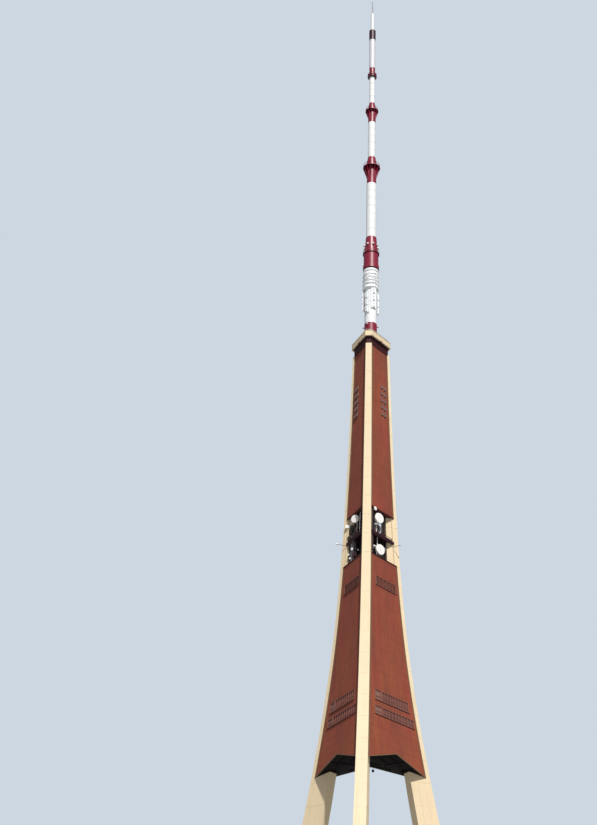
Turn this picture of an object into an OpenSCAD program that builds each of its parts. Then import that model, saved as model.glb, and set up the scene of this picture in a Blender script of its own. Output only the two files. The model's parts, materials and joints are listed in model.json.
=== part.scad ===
// Tripod radio mast at one tenth of its real size.
// Three box-section legs carry a clad body in two parts and a stacked tube antenna.
// Sizes are in millimetres of the model, +Z is up and the ground is Z = 0.

/* [Overall] */
// Height of the spire's tip above the ground
tower_h = 36850; // [33000:10:45000]

/* [Legs] */
// Distance from the axis to the legs' splayed line at the ground
foot_r = 3868; // [3200:2:4700]
// Run over rise of the splay at the foot
splay = 0.29; // [0.24:0.002:0.34]
// Distance from the axis to the legs' upper line at their tops
top_r = 441; // [360:1:540]
// Run over rise of the legs near their tops
lean = 0.0126; // [0:0.0002:0.03]
// How gently the splay turns into the upper line
bend = 726; // [600:2:900]
// Height of the leg tops
leg_top_z = 21810; // [20500:10:24000]
// Width of a leg at the ground
leg_w_foot = 393; // [320:1:480]
// Width of a leg at its top
leg_w_top = 183; // [150:1:220]
// Depth of a leg at the ground
leg_d_foot = 900; // [700:2:1100]
// Depth of a leg at its top
leg_d_top = 170; // [140:1:220]
// Plate of a leg with its stiffeners
leg_plate = 12; // [8:1:20]

/* [Footings] */
// Height of a concrete footing
footing_h = 300; // [150:5:400]
// Margin of a footing's top round the leg
footing_edge = 160; // [80:2:240]
// Extra margin at the ground
footing_batter = 80; // [20:1:120]
// Height of the collar plate at a leg's foot
collar_h = 24; // [10:1:50]
// Reach of the collar plate beyond the leg
collar_edge = 26; // [10:1:50]

/* [Body] */
// Height of the body's lower edge at the legs
body_z = 8780; // [8000:10:9600]
// Rise of the lower edge at the middle of a face
haunch_rise = 350; // [100:2:420]
// Top of the lower body
deck_z = 14750; // [14400:10:15000]
// Underside of the upper body
ceiling_z = 16220; // [15800:10:16600]
// Step of the walls behind the legs' outer faces at the ground
wall_set_foot = 142; // [100:1:180]
// Step of the walls behind the legs' outer faces at the top
wall_set_top = 80; // [60:1:100]
// Thickness of a wall with its cladding
wall_t = 16; // [10:1:24]
// Thickness of a floor
floor_t = 30; // [20:1:50]

/* [Windows] */
// Sill of the observation storey's windows
observation_z = 10050; // [9900:10:10100]
// Height of the observation storey's windows
observation_h = 210; // [150:2:250]
// Sill of the gallery's windows above
gallery_z = 10450; // [10400:10:10600]
// Height of the gallery's windows
gallery_h = 260; // [180:2:300]
// Sill of the middle storey's louvres
louvre_z = 13850; // [13600:10:13950]
// Height of the middle storey's louvres
louvre_h = 250; // [150:2:280]
// Height of a sill above its floor
sill_h = 90; // [60:2:120]
// Far end of the observation row, as a share of half the wall
observation_end = 0.9; // [0.7:0.01:0.92]
// Far end of the gallery row
gallery_end = 0.76; // [0.6:0.01:0.9]
// Far end of the louvre row
louvre_end = 0.78; // [0.6:0.01:0.9]
// Windows in a row
window_count = 10; // [4:1:12]
// Louvre bays in a row
louvre_count = 6; // [3:1:8]
// Slats in a louvre bay
slat_count = 4; // [2:1:6]
// Post between two windows
window_post = 26; // [15:1:40]
// Thickness of the glass
glass_t = 8; // [5:1:12]
// Lap of the glass on the wall round its row
glass_lap = 20; // [10:1:30]

/* [Open storeys] */
// Underside of the platform between the open storeys
platform_z = 15440; // [15300:5:15600]
// Height of the platform's kerb above its plate
kerb_h = 20; // [10:1:40]
// Depth of the beams under the platform and the ceiling
beam_h = 50; // [30:1:80]
// Width of the service shaft
shaft_w = 260; // [210:2:320]
// Diameter of a large dish
dish_d = 310; // [250:2:330]
// Diameter of the large dish on the left face
side_dish_d = 245; // [200:2:300]
// Depth of a large dish's drum
dish_drum = 110; // [80:2:130]
// Turn of the large dishes towards the front leg
dish_aim = 13; // [0:1:20]
// Turn of the left face's large dish towards the front leg
side_dish_aim = 36; // [0:1:40]
// Height of a lower dish's centre above the deck
dish_rise = 250; // [200:2:300]
// Depth of an upper dish's centre below the ceiling
dish_drop = 230; // [190:2:300]
// Height of a platform railing
rail_h = 110; // [90:2:130]
// Thickness of a rail
rail_t = 8; // [6:1:12]

/* [Panel arrays] */
// Centre of the lowest row of panels
array_z = 19550; // [19000:10:20000]
// Distance between two rows
array_pitch = 235; // [200:2:300]
// Rows in a column
array_rows = 5; // [2:1:5]
// Distance between the two columns
array_gap = 160; // [140:2:220]
// Width and height of a panel
array_panel = 104; // [80:2:130]

/* [Cap] */
// Height of the band on the leg tops
band_h = 250; // [180:2:300]
// Height of the fascia
fascia_h = 200; // [150:2:260]
// Thickness of the fascia
fascia_t = 24; // [16:1:28]
// Reach of the fascia beyond the legs' outer faces
fascia_reach = 28; // [20:1:50]

/* [Antenna lengths, stretched together to reach the tip] */
// Red foot
foot_tube_h = 750; // [600:10:1000]
// Lower white section
lower_h = 2090; // [1700:10:2500]
// Lower red collar
lower_collar_h = 1270; // [1100:10:1600]
// Middle white section
middle_h = 2220; // [1800:10:2600]
// Middle red collar
middle_collar_h = 1140; // [1000:10:1400]
// Upper white section
upper_h = 1540; // [1200:10:1800]
// Upper red collar
upper_collar_h = 870; // [700:10:1000]
// Top white section
top_section_h = 1200; // [1000:10:1400]
// Top collar
top_collar_h = 420; // [400:10:560]
// White crown section
crown_h = 1350; // [1100:10:1700]
// Dark band over the crown section
crown_band_h = 450; // [300:10:500]
// Sleeve of the spire
sleeve_h = 840; // [600:10:1000]
// Rod of the spire
rod_h = 620; // [400:10:700]

/* [Antenna radii] */
// Red foot tube
foot_tube_r = 200; // [160:2:225]
// Lower white section
lower_r = 194; // [160:2:200]
// Outer faces of the lower section's panels
lower_panel_r = 258; // [230:2:280]
// Drum of the lower collar
lower_collar_r = 240; // [210:2:260]
// Disc of the lower collar
lower_disc_r = 270; // [250:2:310]
// Middle white section
middle_r = 165; // [140:1:170]
// Disc of the middle collar
middle_disc_r = 290; // [260:2:320]
// Upper white section
upper_r = 126; // [105:1:135]
// Disc of the upper collar
upper_disc_r = 225; // [200:2:250]
// Top white section
top_section_r = 95; // [82:1:105]
// Disc of the top collar
top_disc_r = 160; // [130:2:180]
// Crown section
crown_r = 108; // [85:1:112]
// Sleeve of the spire
sleeve_r = 60; // [45:1:75]
// Rod of the spire
rod_r = 20; // [12:1:30]
// Skin of a section or collar
skin_t = 12; // [8:1:16]

/* [Hidden] */
$fn = 48;

// Places round the axis, as turns of 120 degrees
front = 0;
right = 1;
left = 2;
back_face = 0;
left_face = 1;
right_face = 2;

// Half an edge of an equilateral triangle and its height, per unit of radius
c30 = cos(30);
root3 = sqrt(3);

// Levels between the bottom and the top of a lofted piece
lower_leg_steps = 24;
upper_leg_steps = 12;
lower_wall_steps = 20;
upper_wall_steps = 14;

// Parts of a window row towards the leg where it breaks, as shares of half the wall
row_break = 0.44;
panel_start = 0.48;
panel_end = 0.76;
louvre_start = 0.64;
slat_t = 8;

// Open storeys: where posts and columns stand, as shares of half the wall, and their sizes
post_share = 0.76;
column_shares = [0.3, 0.52];
column_w = 30;
column_set = 110;
post_r = 12;
post_set = 44;
post_clear = 0.05;
arm_share = 0.48;
lamp_w = 60;
lamp_u = 65;
lamp_drop = 150;
stud_w = 18;
stud_set = 8;
plate_top_z = platform_z + floor_t;
kerb_t = 20;
rail_set = 30;
rail_bays = 6;

// Dishes: places along the wall, and the small dishes' sizes
dish_u = 152;
dish_stand = 40;
// Small dishes over the deck: place along the left wall, height above the deck, diameter
low_dishes = [[158, 410, 75], [395, 320, 50], [300, 170, 60]];
mast_dish_d = 120;
mast_dish_drum = 36;
small_drum = 40;

// Cap levels
band_z = leg_top_z;
band_set = wall_set_top / 2;
fascia_z = band_z + band_h;
cap_deck_t = 30;
notch_w = 110;
notch_h = 40;

// Antenna: levels of its sections, from lengths that are stretched to end at the tip
antenna_z = fascia_z + cap_deck_t;
section_lengths = [
    foot_tube_h, lower_h, lower_collar_h, middle_h, middle_collar_h, upper_h, upper_collar_h,
    top_section_h, top_collar_h, crown_h, crown_band_h, sleeve_h, rod_h
];
function sum_to(list, n) = n == 0 ? 0 : list[n - 1] + sum_to(list, n - 1);
stretch = (tower_h - antenna_z) / sum_to(section_lengths, len(section_lengths));
section_z = [for (k = [0:len(section_lengths)]) antenna_z + stretch * sum_to(section_lengths, k)];

disc_t = 24;
rib_t = 8;
flange_t = 20;
flange_w = 16;
column_count = 6;
panel_rows = 3;
dipole_rows = 4;

cream = [0.93, 0.87, 0.72];
rust = [0.56, 0.29, 0.21];
maroon = [0.33, 0.12, 0.11];
signal_red = [0.66, 0.12, 0.14];
off_white = [0.92, 0.92, 0.92];
dark_steel = [0.16, 0.16, 0.17];
concrete = [0.66, 0.64, 0.60];

function mix(a, b, share) = a + (b - a) * share;
function levels(z0, z1, steps) = [for (i = [0:steps]) mix(z0, z1, i / steps)];
function turned_point(p, i) = [
    p[0] * cos(120 * i) - p[1] * sin(120 * i),
    p[0] * sin(120 * i) + p[1] * cos(120 * i),
    p[2]
];

// Radius of the legs' outer faces: a hyperbola between the splay and the upper line
function leg_r(z) =
    let (low = foot_r - splay * z, high = top_r + lean * (leg_top_z - z))
    (low + high) / 2 + sqrt(pow((low - high) / 2, 2) + bend * bend);
function leg_w(z) = mix(leg_w_foot, leg_w_top, z / leg_top_z);
function leg_d(z) = mix(leg_d_foot, leg_d_top, z / leg_top_z);
function wall_set(z) = mix(wall_set_foot, wall_set_top, z / leg_top_z);

// Distance from the axis to a wall's outer and inner face, and half its length there
function wall_out(z) = (leg_r(z) - wall_set(z)) / 2 + leg_w(z) * root3 / 4;
function wall_in(z) = wall_out(z) - wall_t;
function wall_half(q, z) = root3 * q - leg_w(z);

// Sections, anticlockwise from above: the front leg's, and the back wall's between two distances
function leg_ring(z, inset) =
    let (w = leg_w(z) / 2 - inset, out = leg_r(z) - inset, in = leg_r(z) - leg_d(z) + inset)
    [[-w, -out, z], [w, -out, z], [w, -in, z], [-w, -in, z]];
function wall_ring(z, q_in, q_out) =
    let (h_in = wall_half(q_in, z), h_out = wall_half(q_out, z))
    [[-h_in, q_in, z], [h_in, q_in, z], [h_out, q_out, z], [-h_out, q_out, z]];
function strip_ring(z, u0, u1, q_in, q_out) =
    [[u0, q_in, z], [u1, q_in, z], [u1, q_out, z], [u0, q_out, z]];

// Inner corner of the right leg, beside the back wall
function leg_corner(z) =
    let (in = leg_r(z) - leg_d(z), w = leg_w(z))
    [c30 * in - w / 4, in / 2 + w * root3 / 4, z];
function mirrored_point(p) = [-p[0], p[1], p[2]];

// Footing sizes, and the shift that puts the box's middle on the origin
footing_top_r = leg_r(footing_h);
footing_out = footing_top_r + footing_edge + footing_batter;
footing_in = footing_top_r - leg_d(footing_h) - footing_edge - footing_batter;
footing_w = leg_w(footing_h) + 2 * (footing_edge + footing_batter);
axis_y = (footing_out - (footing_out / 2 + footing_w / 2 * c30)) / 2;

// The underside of the body rises in a straight line to the middle of each face
haunch_half = wall_half(wall_out(body_z), body_z);
function haunch_z(u) = body_z + haunch_rise * (1 - abs(u) / haunch_half);

module at_axis() {
    translate([0, axis_y, 0]) children();
}

module turned(i) {
    rotate([0, 0, 120 * i]) children();
}

// A closed skin through rings of points, anticlockwise from above, bottom ring first
module loft(rings) {
    n = len(rings[0]);
    m = len(rings);
    points = [for (ring = rings) each ring];
    bottom = [for (i = [0:n - 1]) i];
    top = [for (i = [n - 1:-1:0]) (m - 1) * n + i];
    sides = [
        for (j = [0:m - 2], i = [0:n - 1])
        [j * n + i, (j + 1) * n + i, (j + 1) * n + (i + 1) % n, j * n + (i + 1) % n]
    ];
    polyhedron(points, concat([bottom], sides, [top]), convexity = 4);
}

// Skin of a revolved section: an outer profile of [radius, height], with a flange at each end
function skin_outline(profile) =
    let (
        last = len(profile) - 1,
        z0 = profile[0][1],
        z1 = profile[last][1],
        way0 = profile[0][0] - skin_t - flange_w,
        way1 = profile[last][0] - skin_t - flange_w
    )
    concat(
        [[way0, z0]], profile, [[way1, z1], [way1, z1 - flange_t]],
        [
            for (k = [last:-1:0])
            [profile[k][0] - skin_t, max(z0 + flange_t, min(z1 - flange_t, profile[k][1]))]
        ],
        [[way0, z0 + flange_t]]
    );

module skin(profile) {
    rotate_extrude() polygon(skin_outline(profile));
}

// Flat ring between two radii
module disc(z, h, r_in, r_out) {
    translate([0, 0, z]) rotate_extrude()
        polygon([[r_in, 0], [r_out, 0], [r_out, h], [r_in, h]]);
}

// Ribs in the corner between a tube and a disc over it
module ribs(count, r_in, r_out, z, h) {
    for (k = [0:count - 1])
        rotate([0, 0, 360 * k / count]) translate([0, rib_t / 2, z]) rotate([90, 0, 0])
            linear_extrude(height = rib_t)
                polygon([[r_in, -h], [r_out, -rib_t], [r_out, 0], [r_in, 0]]);
}

// Outline of the cap, set in from the leg tops: short facets at the legs, long sides between
function cap_outline(inset) =
    let (r = leg_r(leg_top_z) - inset, w = leg_w_top - 2 * inset / root3)
    [
        for (i = [0:2], side = [-1, 1])
        let (p = turned_point([side * w / 2, -r, 0], i))
        [p[0], p[1]]
    ];

module cap_ring(inset, t) {
    difference() {
        polygon(cap_outline(inset));
        polygon(cap_outline(inset + t));
    }
}

module footing(i) {
    mid = (footing_out + footing_in) / 2;
    long = (footing_out - footing_in) / 2;
    wide = footing_w / 2;
    function block_ring(z, cut) = [
        [-wide + cut, -mid - long + cut, z],
        [wide - cut, -mid - long + cut, z],
        [wide - cut, -mid + long - cut, z],
        [-wide + cut, -mid + long - cut, z]
    ];
    color(concrete) at_axis() turned(i)
        loft([block_ring(0, 0), block_ring(footing_h, footing_batter)]);
}

module leg_shell(z0, z1, steps) {
    difference() {
        loft([for (z = levels(z0, z1, steps)) leg_ring(z, 0)]);
        loft([for (z = levels(z0 + leg_plate, z1 - leg_plate, steps)) leg_ring(z, leg_plate)]);
    }
}

module lower_leg(i) {
    color(cream) at_axis() turned(i) {
        leg_shell(footing_h, deck_z, lower_leg_steps);
        loft([for (z = [footing_h, footing_h + collar_h]) leg_ring(z, -collar_edge)]);
    }
}

module upper_leg(i) {
    color(cream) at_axis() turned(i)
        leg_shell(deck_z, leg_top_z, upper_leg_steps);
}

// A wall panel between two heights, for the back face
module wall_panel(z0, z1, steps) {
    loft([for (z = levels(z0, z1, steps)) wall_ring(z, wall_in(z), wall_out(z))]);
}

// A row of equal openings between two shares of the half length, for the back face
module window_row(z, h, share0, share1, count) {
    half = wall_half(wall_out(z + h), z + h);
    u0 = share0 * half;
    pitch = (share1 - share0) * half / count;
    for (i = [0:count - 1])
        translate([u0 + i * pitch + window_post / 2, wall_in(z + h) - wall_t, z])
            cube([pitch - window_post, wall_out(z) - wall_in(z + h) + 2 * wall_t, h]);
}

module haunch_cut() {
    translate([0, wall_out(body_z) + wall_t, 0]) rotate([90, 0, 0])
        linear_extrude(height = wall_out(body_z) - wall_in(body_z + haunch_rise) + 2 * wall_t)
            polygon([
                [-haunch_half, body_z], [-haunch_half, body_z - wall_t],
                [haunch_half, body_z - wall_t], [haunch_half, body_z],
                [0, body_z + haunch_rise]
            ]);
}

// Rows of a lower wall; each window row breaks beside the leg for a single pane
module lower_wall(i) {
    color(rust) at_axis() turned(i) difference() {
        wall_panel(body_z, deck_z, lower_wall_steps);
        haunch_cut();
        window_row(observation_z, observation_h, -observation_end, row_break, window_count);
        window_row(observation_z, observation_h, panel_start, panel_end, 1);
        window_row(gallery_z, gallery_h, -gallery_end, row_break, window_count);
        window_row(gallery_z, gallery_h, panel_start, panel_end, 1);
        window_row(louvre_z, louvre_h, -louvre_end, louvre_start, louvre_count);
    }
}

module upper_wall(i) {
    color(rust) at_axis() turned(i)
        wall_panel(ceiling_z, leg_top_z, upper_wall_steps);
}

// A sheet against the inside of a wall, behind a row of openings
module backing_sheet(z, h, share0, share1, t) {
    z0 = z - glass_lap;
    z1 = z + h + glass_lap;
    half = wall_half(wall_out(z + h), z + h);
    u0 = share0 * half - glass_lap;
    u1 = share1 * half + glass_lap;
    loft([for (zz = [z0, z1]) strip_ring(zz, u0, u1, wall_in(zz) - t, wall_in(zz))]);
}

module glazing(z, h, far_end) {
    color([0.35, 0.4, 0.42, 0.6]) at_axis()
        for (i = [back_face, left_face, right_face])
            turned(i) backing_sheet(z, h, -far_end, panel_end, glass_t);
}

module observation_glass() {
    glazing(observation_z, observation_h, observation_end);
}

module gallery_glass() {
    glazing(gallery_z, gallery_h, gallery_end);
}

// Slats across the louvre bays, on a backing sheet
module middle_louvres() {
    half = wall_half(wall_out(louvre_z + louvre_h), louvre_z + louvre_h);
    bay = (louvre_start + louvre_end) * half / louvre_count;
    rise = louvre_h / slat_count;
    color(maroon) at_axis()
        for (i = [back_face, left_face, right_face])
            turned(i) {
                backing_sheet(louvre_z, louvre_h, -louvre_end, louvre_start, glass_t);
                for (k = [0:louvre_count - 1], j = [0:slat_count - 1]) {
                    u = -louvre_end * half + k * bay + window_post;
                    z = louvre_z + (j + 0.5) * rise;
                    loft([
                        for (zz = [z, z + slat_t])
                        strip_ring(zz, u, u + bay - 2 * window_post, wall_in(zz) - glass_t / 2, wall_out(zz) - rib_t / 2)
                    ]);
                }
            }
}

// A floor plate that fills the body between the walls and round the legs
function plate_points(z) = [
    for (i = [back_face, left_face, right_face])
    let (q = wall_in(z), corner = leg_corner(z), edge = [wall_half(q, z), q, z])
    each [
        turned_point(corner, i), turned_point(edge, i),
        turned_point(mirrored_point(edge), i), turned_point(mirrored_point(corner), i)
    ]
];

module storey_plate(z, t) {
    points = concat(plate_points(z), plate_points(z + t));
    outline = [for (k = [0, 4, 8]) each [k, k + 3]];
    bays = [for (k = [0, 4, 8]) [k, k + 1, k + 2, k + 3]];
    sides = [for (i = [0:11]) [i, i + 12, (i + 1) % 12 + 12, (i + 1) % 12]];
    lids = [for (face = concat([outline], bays)) [for (k = [len(face) - 1:-1:0]) face[k] + 12]];
    polyhedron(points, concat([outline], bays, sides, lids), convexity = 4);
}

module observation_floor() {
    color(dark_steel) at_axis() storey_plate(observation_z - sill_h - floor_t, floor_t);
}

module gallery_floor() {
    color(dark_steel) at_axis() storey_plate(gallery_z - sill_h - floor_t, floor_t);
}

module middle_floor() {
    color(dark_steel) at_axis() storey_plate(louvre_z - sill_h - floor_t, floor_t);
}

module gap_deck() {
    color(maroon) at_axis() storey_plate(deck_z - floor_t, floor_t);
}

// Beams from the shaft to the legs, let into the underside of a plate
module leg_beams(z) {
    top_z = z + floor_t / 2;
    leg_in = leg_r(top_z) - leg_d(top_z);
    shaft_r = shaft_w / 2 / c30 + rib_t;
    for (i = [front, right, left])
        turned(i) translate([-column_w / 2, -leg_in, z - beam_h])
            cube([column_w, leg_in - shaft_r, top_z - z + beam_h]);
}

module gap_platform() {
    color(maroon) at_axis() {
        storey_plate(platform_z, floor_t);
        leg_beams(platform_z);
        for (i = [back_face, left_face, right_face], level = [platform_z - beam_h, plate_top_z])
            turned(i) loft([
                for (z = [level, level == plate_top_z ? plate_top_z + kerb_h : platform_z])
                wall_ring(z, wall_in(z) - kerb_t, wall_in(z))
            ]);
    }
}

module gap_ceiling() {
    color(maroon) at_axis() {
        storey_plate(ceiling_z, floor_t);
        leg_beams(ceiling_z);
    }
}

// The underside of the body: three shallow vaults that meet over the middle
function vault_point(p, lift) = [p[0], p[1], haunch_z(p[0]) + lift];
function vault_points(lift) =
    let (
        edge_z = haunch_z(wall_half(wall_in(body_z), body_z)) + lift,
        crown_z = haunch_z(0) + lift,
        edge = vault_point([wall_half(wall_in(edge_z), edge_z), wall_in(edge_z)], lift),
        corner = vault_point(leg_corner(haunch_z(leg_corner(body_z)[0]) + lift), lift)
    )
    concat(
        [
            for (i = [back_face, left_face, right_face])
            each [
                turned_point(corner, i), turned_point(edge, i),
                turned_point([0, wall_in(crown_z), crown_z], i),
                turned_point(mirrored_point(edge), i), turned_point(mirrored_point(corner), i)
            ]
        ],
        [[0, 0, crown_z]]
    );

function turned_over(face) = [for (k = [len(face) - 1:-1:0]) face[k]];

module body_soffit() {
    points = concat(vault_points(0), vault_points(floor_t));
    hub = 15;
    under = [
        for (k = [0, 5, 10])
        each [
            [hub, k, k + 2], [k, k + 1, k + 2],
            [hub, k + 2, k + 4], [k + 2, k + 3, k + 4],
            [hub, k + 4, (k + 5) % 15]
        ]
    ];
    lids = [for (face = under) [for (p = turned_over(face)) p + 16]];
    sides = [
        for (i = [0:14])
        let (j = (i + 1) % 15)
        each [[i, i + 16, j + 16], [i, j + 16, j]]
    ];
    color(dark_steel) at_axis() {
        polyhedron(points, concat(under, sides, lids), convexity = 6);
        hanging_lamp();
    }
}

// A small housing that hangs under the middle of the back face's lower edge
module hanging_lamp() {
    crown_z = haunch_z(0);
    translate([lamp_u, wall_in(crown_z) - lamp_w, crown_z - lamp_drop]) {
        translate([-lamp_w / 2, -lamp_w / 2, 0]) cube([lamp_w, lamp_w, lamp_w]);
        translate([-rib_t / 2, -rib_t / 2, lamp_w / 2]) cube([rib_t, rib_t, lamp_drop - lamp_w / 2]);
    }
}

// Square tube in the middle, and the columns and edge studs of each open storey
module service_shaft() {
    module bay(z0, z1) {
        z_hid = z1 - z0;
        difference() {
            translate([-shaft_w / 2, -shaft_w / 2, z0]) cube([shaft_w, shaft_w, z_hid]);
            translate([-shaft_w / 2 + wall_t, -shaft_w / 2 + wall_t, z0 - 1])
                cube([shaft_w - 2 * wall_t, shaft_w - 2 * wall_t, z_hid + 2]);
        }
    }
    module columns(i, z0, z1) {
        q = wall_in(z1) - column_set;
        half = wall_half(wall_in(z1), z1);
        for (share = column_shares)
            turned(i) translate([far_side(i) * share * half - column_w / 2, q - column_w, z0])
                cube([column_w, column_w, z1 - z0]);
    }
    module studs(i, z0, z1) {
        for (side = [-1, 1])
            turned(i) loft([
                for (z = [z0, z1])
                let (u = side * (wall_half(wall_in(z) - kerb_t, z) - stud_set - stud_w / 2))
                strip_ring(z, u - stud_w / 2, u + stud_w / 2, wall_in(z) - kerb_t, wall_in(z))
            ]);
    }
    color(dark_steel) at_axis() {
        bay(deck_z, platform_z);
        bay(plate_top_z, ceiling_z);
        for (i = [back_face, left_face, right_face]) {
            columns(i, deck_z, platform_z);
            columns(i, plate_top_z, ceiling_z);
            studs(i, deck_z, platform_z - beam_h);
            studs(i, plate_top_z + kerb_h, ceiling_z);
        }
    }
}

// The side of a face that lies away from the front leg; the back face repeats the right one
function far_side(i) = i == left_face ? 1 : -1;

// A drum dish with its face at the origin, looking along +Y
module dish(d, drum) {
    r = d / 2;
    rotate([-90, 0, 0]) translate([0, 0, -drum]) rotate_extrude()
        polygon([
            [0, 0], [r * 0.25, 0], [r * 0.96, drum * 0.45], [r, drum * 0.45],
            [r, drum * 0.94], [r * 0.96, drum], [0, drum]
        ]);
}

module post(z0, z1, r) {
    translate([0, 0, z0]) cylinder(h = z1 - z0, r = r);
}

// Place on a face: u runs along the wall and q is the distance from the axis
module on_face(i, u, q) {
    turned(i) translate([u, q, 0]) children();
}

// A dish on an arm, turned about its face, with a post behind it between two levels
module mounted_dish(i, u, q, z, d, drum, aim, z0, z1) {
    reach = drum + dish_stand;
    on_face(i, u, q) rotate([0, 0, -aim]) {
        translate([0, 0, z]) dish(d, drum);
        translate([0, -reach, 0]) post(z0, z1, post_r);
        translate([-post_r / 2, -reach, z - post_r]) cube([post_r, reach - drum * 0.6, 2 * post_r]);
    }
}

module large_dishes() {
    upper_z = ceiling_z - dish_drop;
    lower_z = deck_z + dish_rise;
    side_z = upper_z + (dish_d - side_dish_d);
    color(off_white) at_axis() {
        for (i = [right_face, back_face]) {
            mounted_dish(i, dish_u, wall_out(upper_z), upper_z, dish_d, dish_drum, dish_aim, plate_top_z, ceiling_z);
            mounted_dish(i, dish_u, wall_out(lower_z), lower_z, dish_d, dish_drum, dish_aim, deck_z, platform_z);
        }
        mounted_dish(
            left_face, 0, wall_out(side_z), side_z, side_dish_d, dish_drum, -side_dish_aim, plate_top_z, ceiling_z
        );
    }
}

// Farthest place along a face at which the post of a dish turned away from the leg still clears it
function post_room(q, reach, aim, z) =
    wall_half(q - reach * cos(aim), z) - reach * sin(aim) - 2 * (post_r + post_clear);

// Small dishes beside the left face's columns, and one before the wall over each front post
module small_dishes() {
    module low_dish(u, z, d) {
        q = wall_in(platform_z);
        clear_u = min(u, post_room(q, small_drum + dish_stand, side_dish_aim, deck_z));
        mounted_dish(left_face, clear_u, q, z, d, small_drum, -side_dish_aim, deck_z, platform_z);
    }
    module mast_dish(i) {
        z = ceiling_z - mast_dish_d / 4;
        reach = post_set + wall_t + rail_t;
        on_face(i, -far_side(i) * post_u(ceiling_z), wall_in(ceiling_z) - post_set) {
            translate([0, reach + mast_dish_drum, z]) dish(mast_dish_d, mast_dish_drum);
            translate([-post_r / 2, post_r - 2, z - 2 * post_r]) cube([post_r, reach + rail_t - post_r, post_r]);
        }
    }
    color(off_white) at_axis() {
        for (place = low_dishes)
            low_dish(place[0], deck_z + place[1], place[2]);
        mast_dish(right_face);
        mast_dish(back_face);
    }
}

// Distance from the middle of a face to its posts beside the leg, below a plate
function post_u(z) = post_share * wall_half(wall_in(z), z);

module link_posts() {
    lower_z = deck_z + dish_rise;
    color(off_white) at_axis() {
        for (i = [back_face, left_face, right_face]) {
            on_face(i, -far_side(i) * post_u(ceiling_z), wall_in(ceiling_z) - post_set)
                post(plate_top_z, ceiling_z, post_r);
            on_face(i, -far_side(i) * post_u(platform_z), wall_in(platform_z) - post_set)
                post(deck_z, platform_z, post_r);
        }
        for (i = [right_face, back_face])
            on_face(i, dish_u + dish_d * arm_share, wall_in(platform_z) - post_set - post_r / 2)
                translate([0, 0, lower_z]) cube([post_u(platform_z) - dish_u - dish_d * arm_share, post_r, 2 * post_r]);
    }
}

module platform_rails() {
    z = plate_top_z;
    q = wall_in(z) - rail_set - rail_t;
    u = wall_half(q, z + rail_h) - rail_t;
    color(dark_steel) at_axis()
        for (i = [back_face, left_face, right_face])
            turned(i) {
                for (zz = [rail_h / 2, rail_h])
                    translate([-u, q, z + zz - rail_t]) cube([2 * u, rail_t, rail_t]);
                for (k = [0:rail_bays])
                    translate([-u + k * (2 * u - rail_t) / rail_bays, q, z])
                        cube([rail_t, rail_t, rail_h - rail_t / 2]);
            }
}

// Two columns of framed panels high on each wall, on a rail that stands off the wall
module panel_arrays() {
    module panel(u, z) {
        half = array_panel / 2;
        out = wall_out(z - half);
        difference() {
            translate([u - half, out + rib_t, z - half]) cube([array_panel, 2 * rib_t, array_panel]);
            translate([u - half + rib_t, out + 2.5 * rib_t, z - half + rib_t])
                cube([array_panel - 2 * rib_t, rib_t, array_panel - 2 * rib_t]);
        }
    }
    color(dark_steel) at_axis()
        for (i = [back_face, left_face, right_face], column = [0, 1])
            turned(i) {
                u = far_side(i) * (array_gap / 2 + column * array_gap);
                top_z = array_z + (array_rows - 1) * array_pitch;
                for (k = [0:array_rows - 1])
                    panel(u, array_z + k * array_pitch);
                loft([
                    for (z = [array_z - array_panel / 2, top_z + array_panel / 2])
                    strip_ring(z, u - rib_t, u + rib_t, wall_out(z), wall_out(z) + 1.5 * rib_t)
                ]);
            }
}

// Band flush over the walls, with a lamp housing at the middle of each side
module cap_band() {
    q = wall_out(leg_top_z);
    color(maroon) at_axis() {
        translate([0, 0, band_z]) linear_extrude(height = band_h) cap_ring(band_set, fascia_t);
        for (i = [back_face, left_face, right_face])
            turned(i) translate([-notch_w * 0.4, q - rib_t, fascia_z - notch_h])
                cube([notch_w * 0.8, wall_set_top / 2 + fascia_reach, notch_h - rib_t]);
    }
}

module cap_deck() {
    color(dark_steel) at_axis() translate([0, 0, fascia_z])
        linear_extrude(height = cap_deck_t)
            polygon(cap_outline(fascia_t - fascia_reach));
}

module cap_fascia() {
    color(cream) at_axis() difference() {
        translate([0, 0, fascia_z]) linear_extrude(height = fascia_h) cap_ring(-fascia_reach, fascia_t);
        for (i = [back_face, left_face, right_face])
            turned(i) translate([-notch_w / 2, leg_r(leg_top_z) / 2, fascia_z - 1])
                cube([notch_w, leg_r(leg_top_z), notch_h + 1]);
    }
}

// A red collar: a skirt flares out to a disc, and a fairing closes in above it
module collar(k, r0, flare_r, crown, r1, disc_r, share) {
    z0 = section_z[k];
    z1 = section_z[k + 1];
    disc_z = mix(z0, z1, share);
    skirt_z = mix(z0, disc_z, 0.35);
    color(signal_red) at_axis() {
        skin([
            [r0, z0], [r0 + 2, skirt_z], [flare_r, disc_z],
            [flare_r + 2, disc_z + disc_t], [crown, mix(disc_z, z1, 0.6)], [r1, z1]
        ]);
        disc(disc_z, disc_t, flare_r - skin_t / 2, disc_r);
        ribs(12, r0 - skin_t / 2, disc_r - rib_t, disc_z, disc_z - skirt_z);
    }
}

// A section of stacked modules with a shallow groove at each joint
module stacked_section(k, r, count) {
    zs = levels(section_z[k], section_z[k + 1], count);
    groove = skin_t / 2;
    joints = [
        for (j = [1:count - 1])
        each [[r, zs[j] - flange_t], [r - groove, zs[j]], [r, zs[j] + flange_t]]
    ];
    color(off_white) at_axis() skin(concat([[r, zs[0]]], joints, [[r, zs[count]]]));
}

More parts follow.
